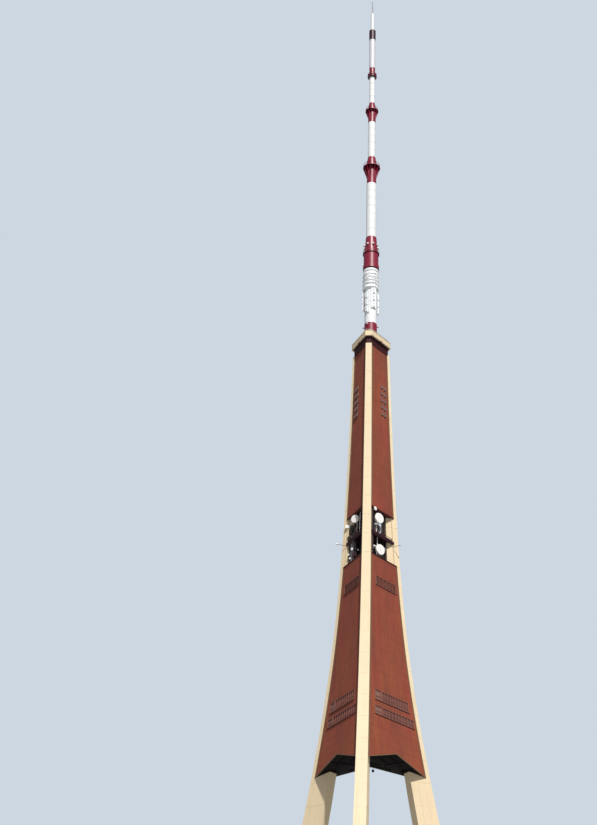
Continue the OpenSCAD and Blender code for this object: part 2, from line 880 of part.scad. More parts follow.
module antenna_foot() {
    z0 = section_z[0];
    z1 = section_z[1];
    color(signal_red) at_axis() {
        skin([[foot_tube_r, z0], [foot_tube_r, z1]]);
        disc(z0, disc_t, foot_tube_r - skin_t / 2, foot_tube_r + 2 * disc_t);
        rotate([180, 0, 0]) translate([0, 0, -z0 - disc_t])
            ribs(16, foot_tube_r - skin_t / 2, foot_tube_r + 1.5 * disc_t, 0, 3 * disc_t);
    }
}

// Lower section: panels in staggered columns, and rows of dipoles round the upper part
module antenna_lower() {
    z0 = section_z[1];
    z1 = section_z[2];
    pitch = (z1 - z0) / 8;
    panel_w = 64;
    module arm(z, r_out, h) {
        translate([-rib_t, -r_out, z - h / 2]) cube([2 * rib_t, r_out - lower_r + skin_t / 2, h]);
    }
    color(off_white) at_axis() {
        skin([[lower_r, z0], [lower_r, z1]]);
        for (k = [0:column_count - 1])
            rotate([0, 0, 180 / column_count + 360 * k / column_count]) {
                first = z0 + pitch * (k % 2 == 0 ? 2.5 : 1.9);
                for (j = [0:panel_rows - 1]) {
                    z = first + j * pitch;
                    arm(z, lower_panel_r - rib_t, 4 * rib_t);
                    translate([-panel_w / 2, -lower_panel_r, z - pitch * 0.4])
                        cube([panel_w, 4 * rib_t, pitch * 0.8]);
                }
            }
        for (k = [0:column_count - 1], j = [0:dipole_rows - 1])
            rotate([0, 0, 360 * k / column_count]) {
                z = mix(z0, z1, 0.64) + j * (z1 - z0) * 0.078;
                arm(z, lower_panel_r - 3 * rib_t, 2 * rib_t);
                translate([-lower_r * 0.6, -lower_panel_r + rib_t, z - 2 * rib_t])
                    cube([lower_r * 1.2, 2 * rib_t, 4 * rib_t]);
            }
    }
}

// Lower collar: a wide drum with a lip, a disc over it and a tapering fairing
module antenna_lower_collar() {
    z0 = section_z[2];
    z1 = section_z[3];
    disc_z = mix(z0, z1, 0.48);
    lip_z = mix(z0, z1, 0.12);
    color(signal_red) at_axis() {
        skin([
            [lower_collar_r + 20, z0], [lower_collar_r + 20, lip_z], [lower_collar_r, lip_z + disc_t],
            [lower_collar_r, disc_z], [lower_collar_r - 8, disc_z + disc_t],
            [lower_collar_r - 30, mix(z0, z1, 0.62)], [middle_r + 10, z1]
        ]);
        disc(disc_z, disc_t, lower_collar_r - skin_t, lower_disc_r);
        ribs(16, lower_collar_r - skin_t / 2, lower_disc_r - rib_t, disc_z, 3 * disc_t);
    }
}

module antenna_middle() {
    stacked_section(3, middle_r, 7);
}

module antenna_middle_collar() {
    collar(4, middle_r - 8, 175, 160, upper_r + 4, middle_disc_r, 0.6);
}

module antenna_upper() {
    stacked_section(5, upper_r, 5);
}

module antenna_upper_collar() {
    collar(6, upper_r + 4, 142, 126, top_section_r + 4, upper_disc_r, 0.58);
}

module antenna_top() {
    stacked_section(7, top_section_r, 4);
}

module antenna_top_collar() {
    z0 = section_z[8];
    z1 = section_z[9];
    color(signal_red) at_axis() {
        skin([[top_section_r + 5, z0], [top_section_r + 5, z1]]);
        for (share = [0.03, 0.2])
            disc(mix(z0, z1, share), disc_t, top_section_r - skin_t / 2, top_disc_r);
        ribs(8, top_section_r, top_disc_r - rib_t, mix(z0, z1, 0.2), mix(0, z1 - z0, 0.15));
    }
}

// Crown: a white section with upright slots between its covers, and a dark band over it
module antenna_crown() {
    z0 = section_z[9];
    z1 = section_z[10];
    slot_w = 14;
    slot_end = 60;
    at_axis() {
        color(off_white) difference() {
            skin([[crown_r, z0], [crown_r, z1]]);
            for (k = [0:7])
                rotate([0, 0, 45 * k]) translate([-slot_w / 2, -crown_r - 1, z0 + slot_end])
                    cube([slot_w, 1 + skin_t / 2, z1 - z0 - 2 * slot_end]);
        }
        color(signal_red) skin([[crown_r + rib_t, z1], [crown_r + rib_t, section_z[11]]]);
    }
}

module spire() {
    color(off_white) at_axis() {
        skin([[sleeve_r, section_z[11]], [sleeve_r, section_z[12]]]);
        translate([0, 0, section_z[12] - flange_t]) cylinder(h = flange_t, r = sleeve_r - skin_t / 2);
        translate([0, 0, section_z[12] - flange_t]) cylinder(h = tower_h - section_z[12] + flange_t, r = rod_r);
    }
}

footing(front);  // front_footing
footing(right);  // right_footing
footing(left);  // left_footing
lower_leg(front);  // front_lower_leg
lower_leg(right);  // right_lower_leg
lower_leg(left);  // left_lower_leg
upper_leg(front);  // front_upper_leg
upper_leg(right);  // right_upper_leg
upper_leg(left);  // left_upper_leg
lower_wall(right_face);  // right_lower_wall
lower_wall(left_face);  // left_lower_wall
lower_wall(back_face);  // back_lower_wall
upper_wall(right_face);  // right_upper_wall
upper_wall(left_face);  // left_upper_wall
upper_wall(back_face);  // back_upper_wall
body_soffit();
observation_floor();
gallery_floor();
middle_floor();
gap_deck();
gap_platform();
gap_ceiling();
service_shaft();
large_dishes();
small_dishes();
link_posts();
platform_rails();
observation_glass();
gallery_glass();
middle_louvres();
panel_arrays();
cap_band();
cap_deck();
cap_fascia();
antenna_foot();
antenna_lower();
antenna_lower_collar();
antenna_middle();
antenna_middle_collar();
antenna_upper();
antenna_upper_collar();
antenna_top();
antenna_top_collar();
antenna_crown();
spire();
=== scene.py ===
import json
import math
import random

import bmesh
import bpy
from mathutils import Matrix, Vector


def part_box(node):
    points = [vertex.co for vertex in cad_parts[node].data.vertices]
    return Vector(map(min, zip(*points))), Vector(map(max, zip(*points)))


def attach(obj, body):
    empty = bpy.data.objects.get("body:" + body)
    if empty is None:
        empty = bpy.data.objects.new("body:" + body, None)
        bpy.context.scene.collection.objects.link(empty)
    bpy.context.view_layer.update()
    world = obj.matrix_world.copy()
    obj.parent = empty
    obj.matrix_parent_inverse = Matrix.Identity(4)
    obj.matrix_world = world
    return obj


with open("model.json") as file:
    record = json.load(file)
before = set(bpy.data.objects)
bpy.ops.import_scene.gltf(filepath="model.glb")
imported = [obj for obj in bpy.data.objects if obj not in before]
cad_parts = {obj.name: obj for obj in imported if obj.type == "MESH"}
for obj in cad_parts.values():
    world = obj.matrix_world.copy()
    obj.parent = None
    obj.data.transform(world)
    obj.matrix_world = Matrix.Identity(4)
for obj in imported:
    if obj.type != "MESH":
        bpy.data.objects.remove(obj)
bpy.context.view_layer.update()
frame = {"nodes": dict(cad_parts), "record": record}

nodes = frame["nodes"]
scene = bpy.context.scene
random.seed(7)
print("frame loaded:", len(nodes), "nodes")

# The tower's own lines in metres: the legs follow a hyperbola and the walls stand a step behind them
mast = {
    "footR": 3.868, "splay": 0.29, "topR": 0.441, "lean": 0.0126, "bend": 0.726, "legTop": 21.81,
    "legWide": (0.393, 0.183), "legDeep": (0.9, 0.17), "wallSet": (0.142, 0.08), "footing": 0.3,
    "bodyLow": 8.78, "haunchRise": 0.35, "deck": 14.75, "ceiling": 16.22, "platform": 15.44,
    "plate": 0.03, "cladding": 0.016,
}
haunchTop = mast["bodyLow"] + mast["haunchRise"]
plateTop = mast["platform"] + mast["plate"]
low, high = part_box("antenna_foot")
axisY = (low.y + high.y) / 2
faces = {"back": 0, "left": 1, "right": 2}
thirds = (0, 1, 2)
root3 = math.sqrt(3)
tilt = 0.0003  # keeps an upright path just off plumb, so that its section stays square to the wall


def mixed(pair, z):
    return pair[0] + (pair[1] - pair[0]) * z / mast["legTop"]


def legR(z):
    near = mast["footR"] - mast["splay"] * z
    far = mast["topR"] + mast["lean"] * (mast["legTop"] - z)
    return (near + far) / 2 + math.hypot((near - far) / 2, mast["bend"])


def legIn(z):
    return legR(z) - mixed(mast["legDeep"], z)


def legWide(z):
    return mixed(mast["legWide"], z)


def wallOut(z):
    return (legR(z) - mixed(mast["wallSet"], z)) / 2 + legWide(z) * root3 / 4


def wallIn(z):
    return wallOut(z) - mast["cladding"]


def wallHalf(z):
    return root3 * wallOut(z) - legWide(z)


def lowEdge(u):  # the body's lower edge, which rises to the middle of each face
    return mast["bodyLow"] + mast["haunchRise"] * (1 - abs(u) / wallHalf(mast["bodyLow"]))


def farSide(face):  # the sign of u away from the front leg; the back face repeats the right one
    return 1 if face == "left" else -1


def turned(i, x, y, z):
    a = math.radians(120 * i)
    return Vector((x * math.cos(a) - y * math.sin(a), x * math.sin(a) + y * math.cos(a) + axisY, z))


def onFace(face, u, z, out=0.0):
    return turned(faces[face], u, wallOut(z) + out, z)


def inFace(face, u, inset, z):
    return turned(faces[face], u, wallIn(mast["ceiling"]) - inset, z)


def levelLine(face, start, end, z, out=0.0):
    return [onFace(face, u, z, out) for u in (start, end)]


def uprightLine(face, u, bottom, top, out=0.0):
    return [onFace(face, u, z, out) for z in (bottom, top)]


def strip(face, ends, z, section):  # a section of (rise, out) that runs along a wall
    return [[onFace(face, u, z + rise, out) for rise, out in section] for u in ends]


def faceTurn(face, aim=0.0):
    return (0.0, 0.0, math.radians(120 * faces[face] - aim))


def atAxis(r, angle, z):  # a point round the antenna's axis; angle 0 is -Y and it grows towards +X
    a = math.radians(angle)
    return Vector((r * math.sin(a), axisY - r * math.cos(a), z))


def outward(angle):  # the turn of a shape that faces away from the antenna's axis at that angle
    return (0, 0, math.radians(180 + angle))


def levels(a, b, count):
    return [a + (b - a) * k / count for k in range(count + 1)]


def stepped(a, b, step):
    return levels(a, b, max(2, round((b - a) / step)))


def setValue(tree, socket, value):
    if isinstance(value, bpy.types.NodeSocket):
        tree.links.new(value, socket)
    elif isinstance(value, tuple) and socket.type == "RGBA" and len(value) == 3:
        socket.default_value = (*value, 1.0)
    else:
        socket.default_value = value


def feed(tree, node, values):
    for label, value in values.items():
        setValue(tree, node.inputs[label], value)
    return node


def put(tree, kind, values=None, **settings):
    node = tree.nodes.new(kind)
    for key, value in settings.items():
        setattr(node, key, value)
    return feed(tree, node, values or {})


def maths(tree, operation, a, b=0.0, c=0.0):
    return put(tree, "ShaderNodeMath", {0: a, 1: b, 2: c}, operation=operation).outputs[0]


def times(tree, a, b):
    return maths(tree, "MULTIPLY", a, b)


def vectors(tree, operation, a, b=(0.0, 0.0, 0.0)):
    node = put(tree, "ShaderNodeVectorMath", {0: a, 1: b}, operation=operation)
    return node.outputs["Value" if operation == "DOT_PRODUCT" else "Vector"]


def parted(tree, vector):
    return put(tree, "ShaderNodeSeparateXYZ", {0: vector}).outputs


def joined(tree, x, y, z=0.0):
    return put(tree, "ShaderNodeCombineXYZ", {"X": x, "Y": y, "Z": z}).outputs["Vector"]


def objectPlace(tree):
    return put(tree, "ShaderNodeTexCoord").outputs["Object"]


def ramped(tree, value, low, high, a=0.0, b=1.0):
    node = put(tree, "ShaderNodeMapRange", {
        "Value": value, "From Min": low, "From Max": high, "To Min": a, "To Max": b,
    })
    return node.outputs["Result"]


def blended(tree, share, a, b, mode="MIX"):
    node = put(tree, "ShaderNodeMix", data_type="RGBA", blend_type=mode)
    colours = [s for s in node.inputs if s.type == "RGBA"]
    for socket, value in zip([node.inputs["Factor"], *colours], (share, a, b)):
        setValue(tree, socket, value)
    return next(s for s in node.outputs if s.type == "RGBA")


def noise(tree, place, scale, detail=3.0, rough=0.55):
    node = put(tree, "ShaderNodeTexNoise", {
        "Vector": place, "Scale": scale, "Detail": detail, "Roughness": rough,
    })
    return node.outputs["Fac"]


def newGroup(name, inputs, outputs, family="ShaderNodeTree"):
    # Inputs are (label, kind) with or without a value; it gives the tree, its inputs' sockets and its output
    tree = bpy.data.node_groups.new(name, family)
    for label, kind, *value in inputs:
        socket = tree.interface.new_socket(label, in_out="INPUT", socket_type="NodeSocket" + kind)
        if value:
            socket.default_value = value[0]
    for label, kind in outputs:
        tree.interface.new_socket(label, in_out="OUTPUT", socket_type="NodeSocket" + kind)
    return tree, tree.nodes.new("NodeGroupInput").outputs, tree.nodes.new("NodeGroupOutput")


def facePlace():
    # A place on any upright surface: along it, out of it and up, so patterns follow every wall and leg face
    tree, _, out = newGroup("facePlace", [], [("Place", "Vector")])
    where = objectPlace(tree)
    centred = vectors(tree, "SUBTRACT", where, (0.0, axisY, 0.0))
    facing = put(tree, "ShaderNodeNewGeometry").outputs["True Normal"]
    along = vectors(tree, "NORMALIZE", vectors(tree, "CROSS_PRODUCT", facing, (0.0, 0.0, -1.0)))
    away = vectors(tree, "CROSS_PRODUCT", (0.0, 0.0, 1.0), along)
    across, outwards = (vectors(tree, "DOT_PRODUCT", line, centred) for line in (along, away))
    feed(tree, out, {"Place": joined(tree, across, outwards, parted(tree, where)["Z"])})
    return tree


mottling = {"finer": 5.3, "fineDetail": 4.0, "fineShare": 0.4, "wideShare": 0.6, "swing": 4.0}


def mottledTone():
    tree, given, out = newGroup(
        "mottledTone", [("Place", "Vector"), ("Scale", "Float", 1.0), ("Spread", "Float", 0.1)],
        [("Tone", "Float")])
    wide = noise(tree, given["Place"], given["Scale"])
    fine = noise(
        tree, given["Place"], times(tree, given["Scale"], mottling["finer"]), mottling["fineDetail"])
    wide = times(tree, wide, mottling["wideShare"])
    both = maths(tree, "MULTIPLY_ADD", fine, mottling["fineShare"], wide)
    swing = times(tree, maths(tree, "SUBTRACT", both, 0.5), given["Spread"])
    feed(tree, out, {"Tone": maths(tree, "MULTIPLY_ADD", swing, mottling["swing"], 1.0)})
    return tree


streaks = {
    "detail": 5.0, "rough": 0.7, "range": (0.48, 0.78), "patch": 1.7, "patchDetail": 2.0,
    "patchRange": (0.3, 0.65),
}


def rainRuns():
    # Streaks that run down a face: narrow across it and long in height, and stronger in some patches
    tree, given, out = newGroup(
        "rainRuns", [("Place", "Vector"), ("Across", "Float", 30.0), ("Length", "Float", 0.6)],
        [("Mask", "Float")])
    spot = parted(tree, given["Place"])
    stretched = joined(
        tree, times(tree, spot["X"], given["Across"]), spot["Y"], times(tree, spot["Z"], given["Length"]))
    streak = noise(tree, stretched, 1.0, streaks["detail"], streaks["rough"])
    patch = noise(tree, given["Place"], streaks["patch"], streaks["patchDetail"])
    masks = ramped(tree, streak, *streaks["range"]), ramped(tree, patch, *streaks["patchRange"])
    feed(tree, out, {"Mask": times(tree, *masks)})
    return tree


def sheetCells():
    # Sheets of a clad face: each has its own tone, and a mask shows the joints between them
    tree, given, out = newGroup(
        "sheetCells",
        [("Place", "Vector"), ("Wide", "Float", 0.1), ("High", "Float", 0.4), ("Joint", "Float", 0.004)],
        [("Tone", "Float"), ("Column", "Float"), ("Joint", "Float")])
    spot = parted(tree, given["Place"])
    column = maths(tree, "FLOOR", maths(tree, "DIVIDE", spot["X"], given["Wide"]))
    row = maths(tree, "DIVIDE", spot["Z"], given["High"])
    side = maths(tree, "ROUND", spot["Y"])
    tone, stripe = (
        put(tree, "ShaderNodeTexWhiteNoise", {"Vector": cell}, noise_dimensions="3D").outputs["Value"]
        for cell in (joined(tree, column, side, maths(tree, "FLOOR", row)), joined(tree, column, side)))
    edge = times(tree, maths(tree, "PINGPONG", row, 0.5), given["High"])
    feed(tree, out, {
        "Tone": tone, "Column": stripe, "Joint": maths(tree, "LESS_THAN", edge, given["Joint"]),
    })
    return tree


blotches = {"stretch": 0.4, "detail": 4.0, "rough": 0.6, "range": (0.42, 0.66)}


def weather():
    # Broad soft blotches, taller than wide, that shift a face's colour
    tree, given, out = newGroup(
        "weather", [("Place", "Vector"), ("Scale", "Float", 1.4), ("Shift", "Float", 0.0)],
        [("Mask", "Float")])
    spot = parted(tree, given["Place"])
    moved = joined(
        tree, maths(tree, "ADD", spot["X"], given["Shift"]), spot["Y"],
        times(tree, spot["Z"], blotches["stretch"]))
    cloud = noise(tree, moved, given["Scale"], blotches["detail"], blotches["rough"])
    feed(tree, out, {"Mask": ramped(tree, cloud, *blotches["range"])})
    return tree


grit = {"detail": 6.0, "rough": 0.6, "distance": 0.004}


def grainNormal():
    tree, given, out = newGroup(
        "grainNormal", [("Place", "Vector"), ("Scale", "Float", 60.0), ("Depth", "Float", 0.2)],
        [("Normal", "Vector")])
    bumps = noise(tree, given["Place"], given["Scale"], grit["detail"], grit["rough"])
    bump = put(tree, "ShaderNodeBump", {
        "Height": bumps, "Strength": given["Depth"], "Distance": grit["distance"],
    })
    feed(tree, out, {"Normal": bump.outputs["Normal"]})
    return tree


groups = (facePlace, mottledTone, rainRuns, sheetCells, weather, grainNormal)
kit = {build.__name__: build() for build in groups}


def use(tree, name, **values):
    node = tree.nodes.new("ShaderNodeGroup")
    node.node_tree = kit[name]
    return feed(tree, node, values).outputs


def newMaterial(name):
    material = bpy.data.materials.new(name)
    material.use_nodes = True
    tree = material.node_tree
    return material, tree, tree.nodes["Principled BSDF"], use(tree, "facePlace")["Place"]


def scaled(tree, colour, tone):
    level = put(tree, "ShaderNodeCombineColor", {0: tone, 1: tone, 2: tone}).outputs[0]
    return blended(tree, 1.0, colour, level, "MULTIPLY")


def rained(tree, place, look):
    return use(tree, "rainRuns", Place=place, Across=look["across"], Length=look["length"])["Mask"]


def mottled(tree, place, patch, spread):
    return use(tree, "mottledTone", Place=place, Scale=patch, Spread=spread)["Tone"]


def grained(tree, place, look):
    return use(tree, "grainNormal", Place=place, Scale=look["grain"], Depth=look["depth"])["Normal"]


def stained(tree, runs, base, look):
    return blended(tree, times(tree, runs, look["staining"]), base, look["stain"])


# The columns of every table of paints, and what a paint has beside them unless it says otherwise
columns = (
    "colour", "stain", "staining", "patch", "spread", "across", "length", "rough", "grain", "depth")
plainPaint = {"swing": 0.07, "coat": 0.0, "gloss": 0.15, "shine": 0.5}
toneRange = (0.7, 1.3)
# How far down a face must look to take the painted shade
shadeBelowRange = (-0.3, -0.7)


def painted(name, values, besides, over=None, region=None):
    # Paint with stains and a fine grain; what faces down can take a painted shade, and what a test marks can
    # have its own colour
    look = {**plainPaint, **dict(zip(columns, values)), **besides}
    rough, swing = look["rough"], look["swing"]
    material, tree, shader, place = newMaterial(name)
    base = stained(tree, rained(tree, place, look), look["colour"], look)
    tone = mottled(tree, place, look["patch"], look["spread"])
    # Faces that look down take a darker colour: painted shade under the discs and ledges
    if "under" in look:
        facing = parted(tree, put(tree, "ShaderNodeNewGeometry").outputs["Normal"])["Z"]
        base = blended(tree, ramped(tree, facing, *shadeBelowRange), base, look["under"])
    if over:
        covered = region(tree, parted(tree, objectPlace(tree)), over)
        base = blended(tree, covered, base, over["colour"])
    feed(tree, shader, {
        "Base Color": scaled(tree, base, tone),
        "Roughness": ramped(tree, tone, *toneRange, rough - swing, rough + swing),
        "Coat Weight": look["coat"], "Coat Roughness": look["gloss"], "Specular IOR Level": look["shine"],
        "Normal": grained(tree, place, look),
    })
    return material


def aboveLevel(tree, spot, over):
    return maths(tree, "GREATER_THAN", spot["Z"], over["level"])


def bothAbove(tree, *tests):
    return times(tree, *(maths(tree, "GREATER_THAN", value, limit) for value, limit in tests))


def besideFarLegs(tree, spot, over):
    depth = maths(tree, "SUBTRACT", spot["Y"], axisY)
    squares = [maths(tree, "POWER", side, 2.0) for side in (spot["X"], depth)]
    away = maths(tree, "POWER", maths(tree, "ADD", *squares), 0.5)
    return bothAbove(tree, (away, over["away"]), (depth, over["depth"]))


def besideDishes(tree, spot, over):
    depth = maths(tree, "SUBTRACT", spot["Y"], axisY)
    return bothAbove(tree, (spot["X"], over["right"]), (depth, over["depth"]))


def clad(name, look):
    # Walls: sheets in upright columns of differing tone, faint joints, blotches and stains that run down them
    material, tree, shader, place = newMaterial(name)
    sheets = use(tree, "sheetCells", Place=place, Wide=look["wide"], High=look["high"], Joint=look["joint"])
    strips = use(
        tree, "sheetCells", Place=place, Wide=look["wide"] * look["broader"],
        High=look["high"] * look["taller"], Joint=0.0)
    runs = rained(tree, place, look)
    warm = blended(tree, ramped(tree, sheets["Column"], *look["warmRange"]), look["colour"], look["warm"])
    warm = blended(tree, ramped(tree, strips["Column"], *look["deepRange"]), warm, look["deep"])
    for shift, colour, share in look["blotches"]:
        cloud = use(tree, "weather", Place=place, Scale=look["cloud"], Shift=shift)["Mask"]
        warm = blended(tree, times(tree, cloud, share), warm, colour)
    warm = stained(tree, runs, warm, look)
    tone = ramped(tree, sheets["Tone"], 0.0, 1.0, 1 - look["spread"], 1 + look["spread"])
    tone = times(tree, tone, mottled(tree, place, look["patch"], look["mottle"]))
    tone = times(tree, tone, ramped(tree, sheets["Joint"], 0.0, 1.0, 1.0, look["jointTone"]))
    feed(tree, shader, {
        "Base Color": scaled(tree, warm, tone),
        "Roughness": ramped(tree, runs, 0.0, 1.0, look["rough"], look["roughest"]),
        "Specular IOR Level": look["shine"], "Normal": grained(tree, place, look),
    })
    return material


def tinted(name, look):
    # Dark brownish panes, each with its own tone, and runs of dust down them; their brown stands partly for a
    # painted reflection
    material, tree, shader, place = newMaterial(name)
    panes = use(tree, "sheetCells", Place=place, Wide=look["wide"], High=look["high"], Joint=0.0)
    dust = rained(tree, place, look)
    base = blended(tree, ramped(tree, panes["Tone"], 0.0, 1.0), look["colour"], look["other"])
    feed(tree, shader, {
        "Base Color": stained(tree, dust, base, look),
        "Roughness": ramped(tree, dust, 0.0, 1.0, look["rough"], look["roughest"]),
        "Transmission Weight": look["clear"], "IOR": look["index"], "Specular IOR Level": look["shine"],
        "Normal": grained(tree, place, look),
    })
    return material


def galvanised(name, look):
    # Zinc spangle under a thin film of dirt
    material, tree, shader, place = newMaterial(name)
    spangle = put(tree, "ShaderNodeTexVoronoi", {"Vector": place, "Scale": look["spangle"]}).outputs["Color"]
    flake = put(tree, "ShaderNodeSeparateColor", {0: spangle}).outputs[0]
    base = stained(tree, rained(tree, place, look), look["colour"], look)
    feed(tree, shader, {
        "Base Color": scaled(tree, base, ramped(tree, flake, 0.0, 1.0, *look["tones"])),
        "Roughness": ramped(tree, flake, 0.0, 1.0, *look["roughs"]),
        "Metallic": look["metal"], "Normal": grained(tree, place, look),
    })
    return material


creamColour = (0.775, 0.645, 0.442)
darkLook = ((0.024, 0.018, 0.021), (0.055, 0.036, 0.034), 0.5, 3.0, 0.18, 18.0, 1.0, 0.62, 55.0, 0.25)
# Each as (material, values of the columns, what it has besides)
slotPaints = {
    "concrete": ("roughConcrete", (
        (0.42, 0.39, 0.34), (0.16, 0.14, 0.12), 0.6, 3.0, 0.16, 9.0, 1.2, 0.9, 26.0, 0.7), {}),
    "cream_paint": ("creamPaint", (
        creamColour, (0.46, 0.34, 0.20), 0.4, 1.6, 0.05, 22.0, 0.5, 0.5, 70.0, 0.12), {}),
    "maroon_paint": ("maroonPaint", (
        (0.044, 0.008, 0.011), (0.024, 0.008, 0.008), 0.7, 4.0, 0.12, 26.0, 1.0, 0.6, 60.0, 0.2),
        {"shine": 0.25}),
    "dark_steel": ("darkPaint", darkLook, {}),
    "white_cover": ("whiteCover", (
        (0.83, 0.86, 0.90), (0.56, 0.57, 0.58), 0.3, 5.0, 0.03, 34.0, 1.2, 0.42, 80.0, 0.08), {}),
    # The red's darker colour for faces that look down is painted shade
    "red_paint": ("signalRed", (
        (0.24, 0.007, 0.036), (0.12, 0.009, 0.024), 0.5, 5.0, 0.08, 30.0, 1.2, 0.4, 70.0, 0.06),
        {"under": (0.035, 0.004, 0.010), "coat": 0.5, "gloss": 0.4, "shine": 0.4}),
}
extraPaints = {
    "flashing": ("flashingBrown", (
        (0.20, 0.105, 0.055), (0.09, 0.05, 0.035), 0.7, 3.0, 0.1, 20.0, 0.6, 0.55, 60.0, 0.15), {}),
    "trim": ("trimGrey", (
        (0.245, 0.125, 0.098), (0.15, 0.07, 0.055), 0.6, 4.0, 0.08, 20.0, 1.0, 0.5, 60.0, 0.12), {}),
    "louvre": ("louvreMauve", (
        (0.215, 0.088, 0.070), (0.12, 0.045, 0.04), 0.6, 5.0, 0.12, 30.0, 1.0, 0.5, 60.0, 0.12), {}),
    "array": ("arrayGrey", (
        (0.225, 0.130, 0.118), (0.16, 0.08, 0.07), 0.6, 7.0, 0.1, 30.0, 1.0, 0.45, 60.0, 0.1), {}),
    # The underside's near-black, far darker than the dark paint, is painted shade
    "soffit": ("shadedUndersidePaint", (
        (0.008, 0.007, 0.008), (0.014, 0.011, 0.010), 0.6, 2.0, 0.15, 14.0, 0.8, 0.8, 40.0, 0.2),
        {"shine": 0.1}),
    # The dishes' white is their own, raised brighter than the covers' as painted light
    "dish": ("dishWhiteWithPaintedLight", (
        (0.90, 0.90, 0.90), (0.62, 0.62, 0.60), 0.3, 5.0, 0.02, 34.0, 1.2, 0.42, 80.0, 0.05), {}),
    "mount": ("mountGrey", (
        (0.33, 0.23, 0.215), (0.20, 0.12, 0.11), 0.5, 7.0, 0.1, 30.0, 1.0, 0.5, 60.0, 0.1), {}),
    # The platform's maroon is its own paint darkened with painted shade, as it is seen from below
    "platform": ("shadedPlatformMaroon", (
        (0.026, 0.006, 0.013), (0.014, 0.006, 0.008), 0.7, 4.0, 0.15, 26.0, 1.0, 0.65, 60.0, 0.2),
        {"shine": 0.2}),
    "moss": ("mossyPaint", (
        (0.085, 0.080, 0.040), (0.030, 0.024, 0.016), 0.7, 8.0, 0.25, 24.0, 1.0, 0.75, 50.0, 0.25), {}),
    "mauve": ("mauvePaint", (
        (0.090, 0.036, 0.046), (0.035, 0.018, 0.022), 0.7, 8.0, 0.25, 24.0, 1.0, 0.6, 50.0, 0.2), {}),
    "sill": ("sillBrown", (
        (0.115, 0.040, 0.032), (0.07, 0.03, 0.025), 0.6, 4.0, 0.1, 26.0, 1.0, 0.6, 60.0, 0.15),
        {"shine": 0.3}),
}
# These also have a second paint over a part of them, and the test for where
bandedLook = {"swing": 0.06, "gloss": 0.03}
bandedPaints = {
    "post": ("postPaint", (
        (0.075, 0.042, 0.034), (0.13, 0.07, 0.045), 0.6, 6.0, 0.12, 30.0, 1.0, 0.5, 70.0, 0.1),
        bandedLook, {"right": 0.28, "depth": -0.46, "colour": (0.56, 0.54, 0.55)}, besideDishes),
    "crown": ("crownCover", (
        (0.66, 0.67, 0.73), (0.34, 0.34, 0.38), 0.6, 5.0, 0.06, 30.0, 0.5, 0.45, 80.0, 0.08),
        bandedLook, {"level": 34.94, "colour": (0.034, 0.004, 0.017)}, aboveLevel),
    "spire": ("spireCover", (
        (0.80, 0.83, 0.86), (0.50, 0.52, 0.55), 0.4, 5.0, 0.04, 34.0, 1.2, 0.45, 80.0, 0.08),
        bandedLook, {"level": 36.23, "colour": (0.33, 0.34, 0.35)}, aboveLevel),
    "shaft": ("shaftPaint", darkLook, bandedLook, {
        "away": 0.62, "depth": -0.1, "colour": creamColour}, besideFarLegs),
}
zincLook = {
    "colour": (0.36, 0.37, 0.38), "stain": (0.17, 0.14, 0.12), "staining": 0.6, "across": 40.0, "length": 1.5,
    "roughs": (0.35, 0.55), "metal": 0.55, "spangle": 60.0, "tones": (0.82, 1.18), "grain": 70.0,
    "depth": 0.1,
}
# The panes' brownish colours are partly a painted reflection
paneLook = {
    "colour": (0.115, 0.054, 0.048), "other": (0.17, 0.085, 0.075), "stain": (0.22, 0.13, 0.10),
    "staining": 0.35, "wide": 0.09, "high": 9.0, "across": 60.0, "length": 3.0, "rough": 0.3,
    "roughest": 0.5, "clear": 0.12, "index": 1.5, "shine": 0.4, "grain": 5.0, "depth": 0.03,
}
wallLook = {
    "colour": (0.268, 0.070, 0.037), "warm": (0.248, 0.056, 0.037), "deep": (0.322, 0.090, 0.036),
    "stain": (0.13, 0.045, 0.032), "staining": 0.6, "across": 26.0, "length": 0.35,
    "warmRange": (0.25, 1.0), "deepRange": (0.45, 1.0, 0.0, 0.6),
    "wide": 0.06, "high": 0.45, "broader": 2.6, "taller": 8, "joint": 0.006, "jointTone": 0.86,
    "spread": 0.05, "mottle": 0.1, "patch": 3.0, "rough": 0.6, "roughest": 0.75, "shine": 0.3,
    "grain": 90.0, "depth": 0.15,
    "cloud": 1.5, "blotches": (
        (0.0, (0.36, 0.095, 0.036), 0.5), (11.0, (0.31, 0.050, 0.042), 0.5),
        (23.0, (0.165, 0.055, 0.034), 0.45)),
}
paints = {slot: painted(*settings) for slot, settings in slotPaints.items()}
paints["rust_cladding"] = clad("brownCladding", wallLook)
paints["glazing"] = tinted("paneWithPaintedReflection", paneLook)
paints["grey_steel"] = galvanised("galvanisedSteel", zincLook)
extras = {look: painted(*settings) for look, settings in (extraPaints | bandedPaints).items()}
# Nodes of the frame that don't have their slot's plain look; the soffit's and the platform's looks are
# darkened as painted shade
own = {
    "middle_louvres": "louvre", "panel_arrays": "array", "antenna_crown": "crown", "body_soffit": "soffit",
    "large_dishes": "dish", "small_dishes": "dish", "link_posts": "post", "spire": "spire",
    "service_shaft": "shaft", "gap_platform": "platform", "platform_rails": "sill",
}


def finishOf(slot, look=None):
    return extras[look] if look else paints[slot]


for row in frame["record"]["subparts"]:
    target = nodes[row["node"]]
    chosen = finishOf(row["material_slot"], own.get(row["node"]))
    if not target.material_slots:
        target.data.materials.append(chosen)
    for holder in target.material_slots:
        holder.material = chosen
print("materials made:", len(paints) + len(extras))


def newTree(name, inputs):
    return newGroup(
        name, [("Geometry", "Geometry"), *inputs, ("Finish", "Material")], [("Geometry", "Geometry")],
        "GeometryNodeTree")


def ended(tree, out, made, finish):
    whole = put(tree, "GeometryNodeRealizeInstances", {0: made.outputs[0]})
    done = put(tree, "GeometryNodeSetMaterial", {0: whole.outputs[0], "Material": finish})
    feed(tree, out, {"Geometry": done.outputs[0]})
    return tree


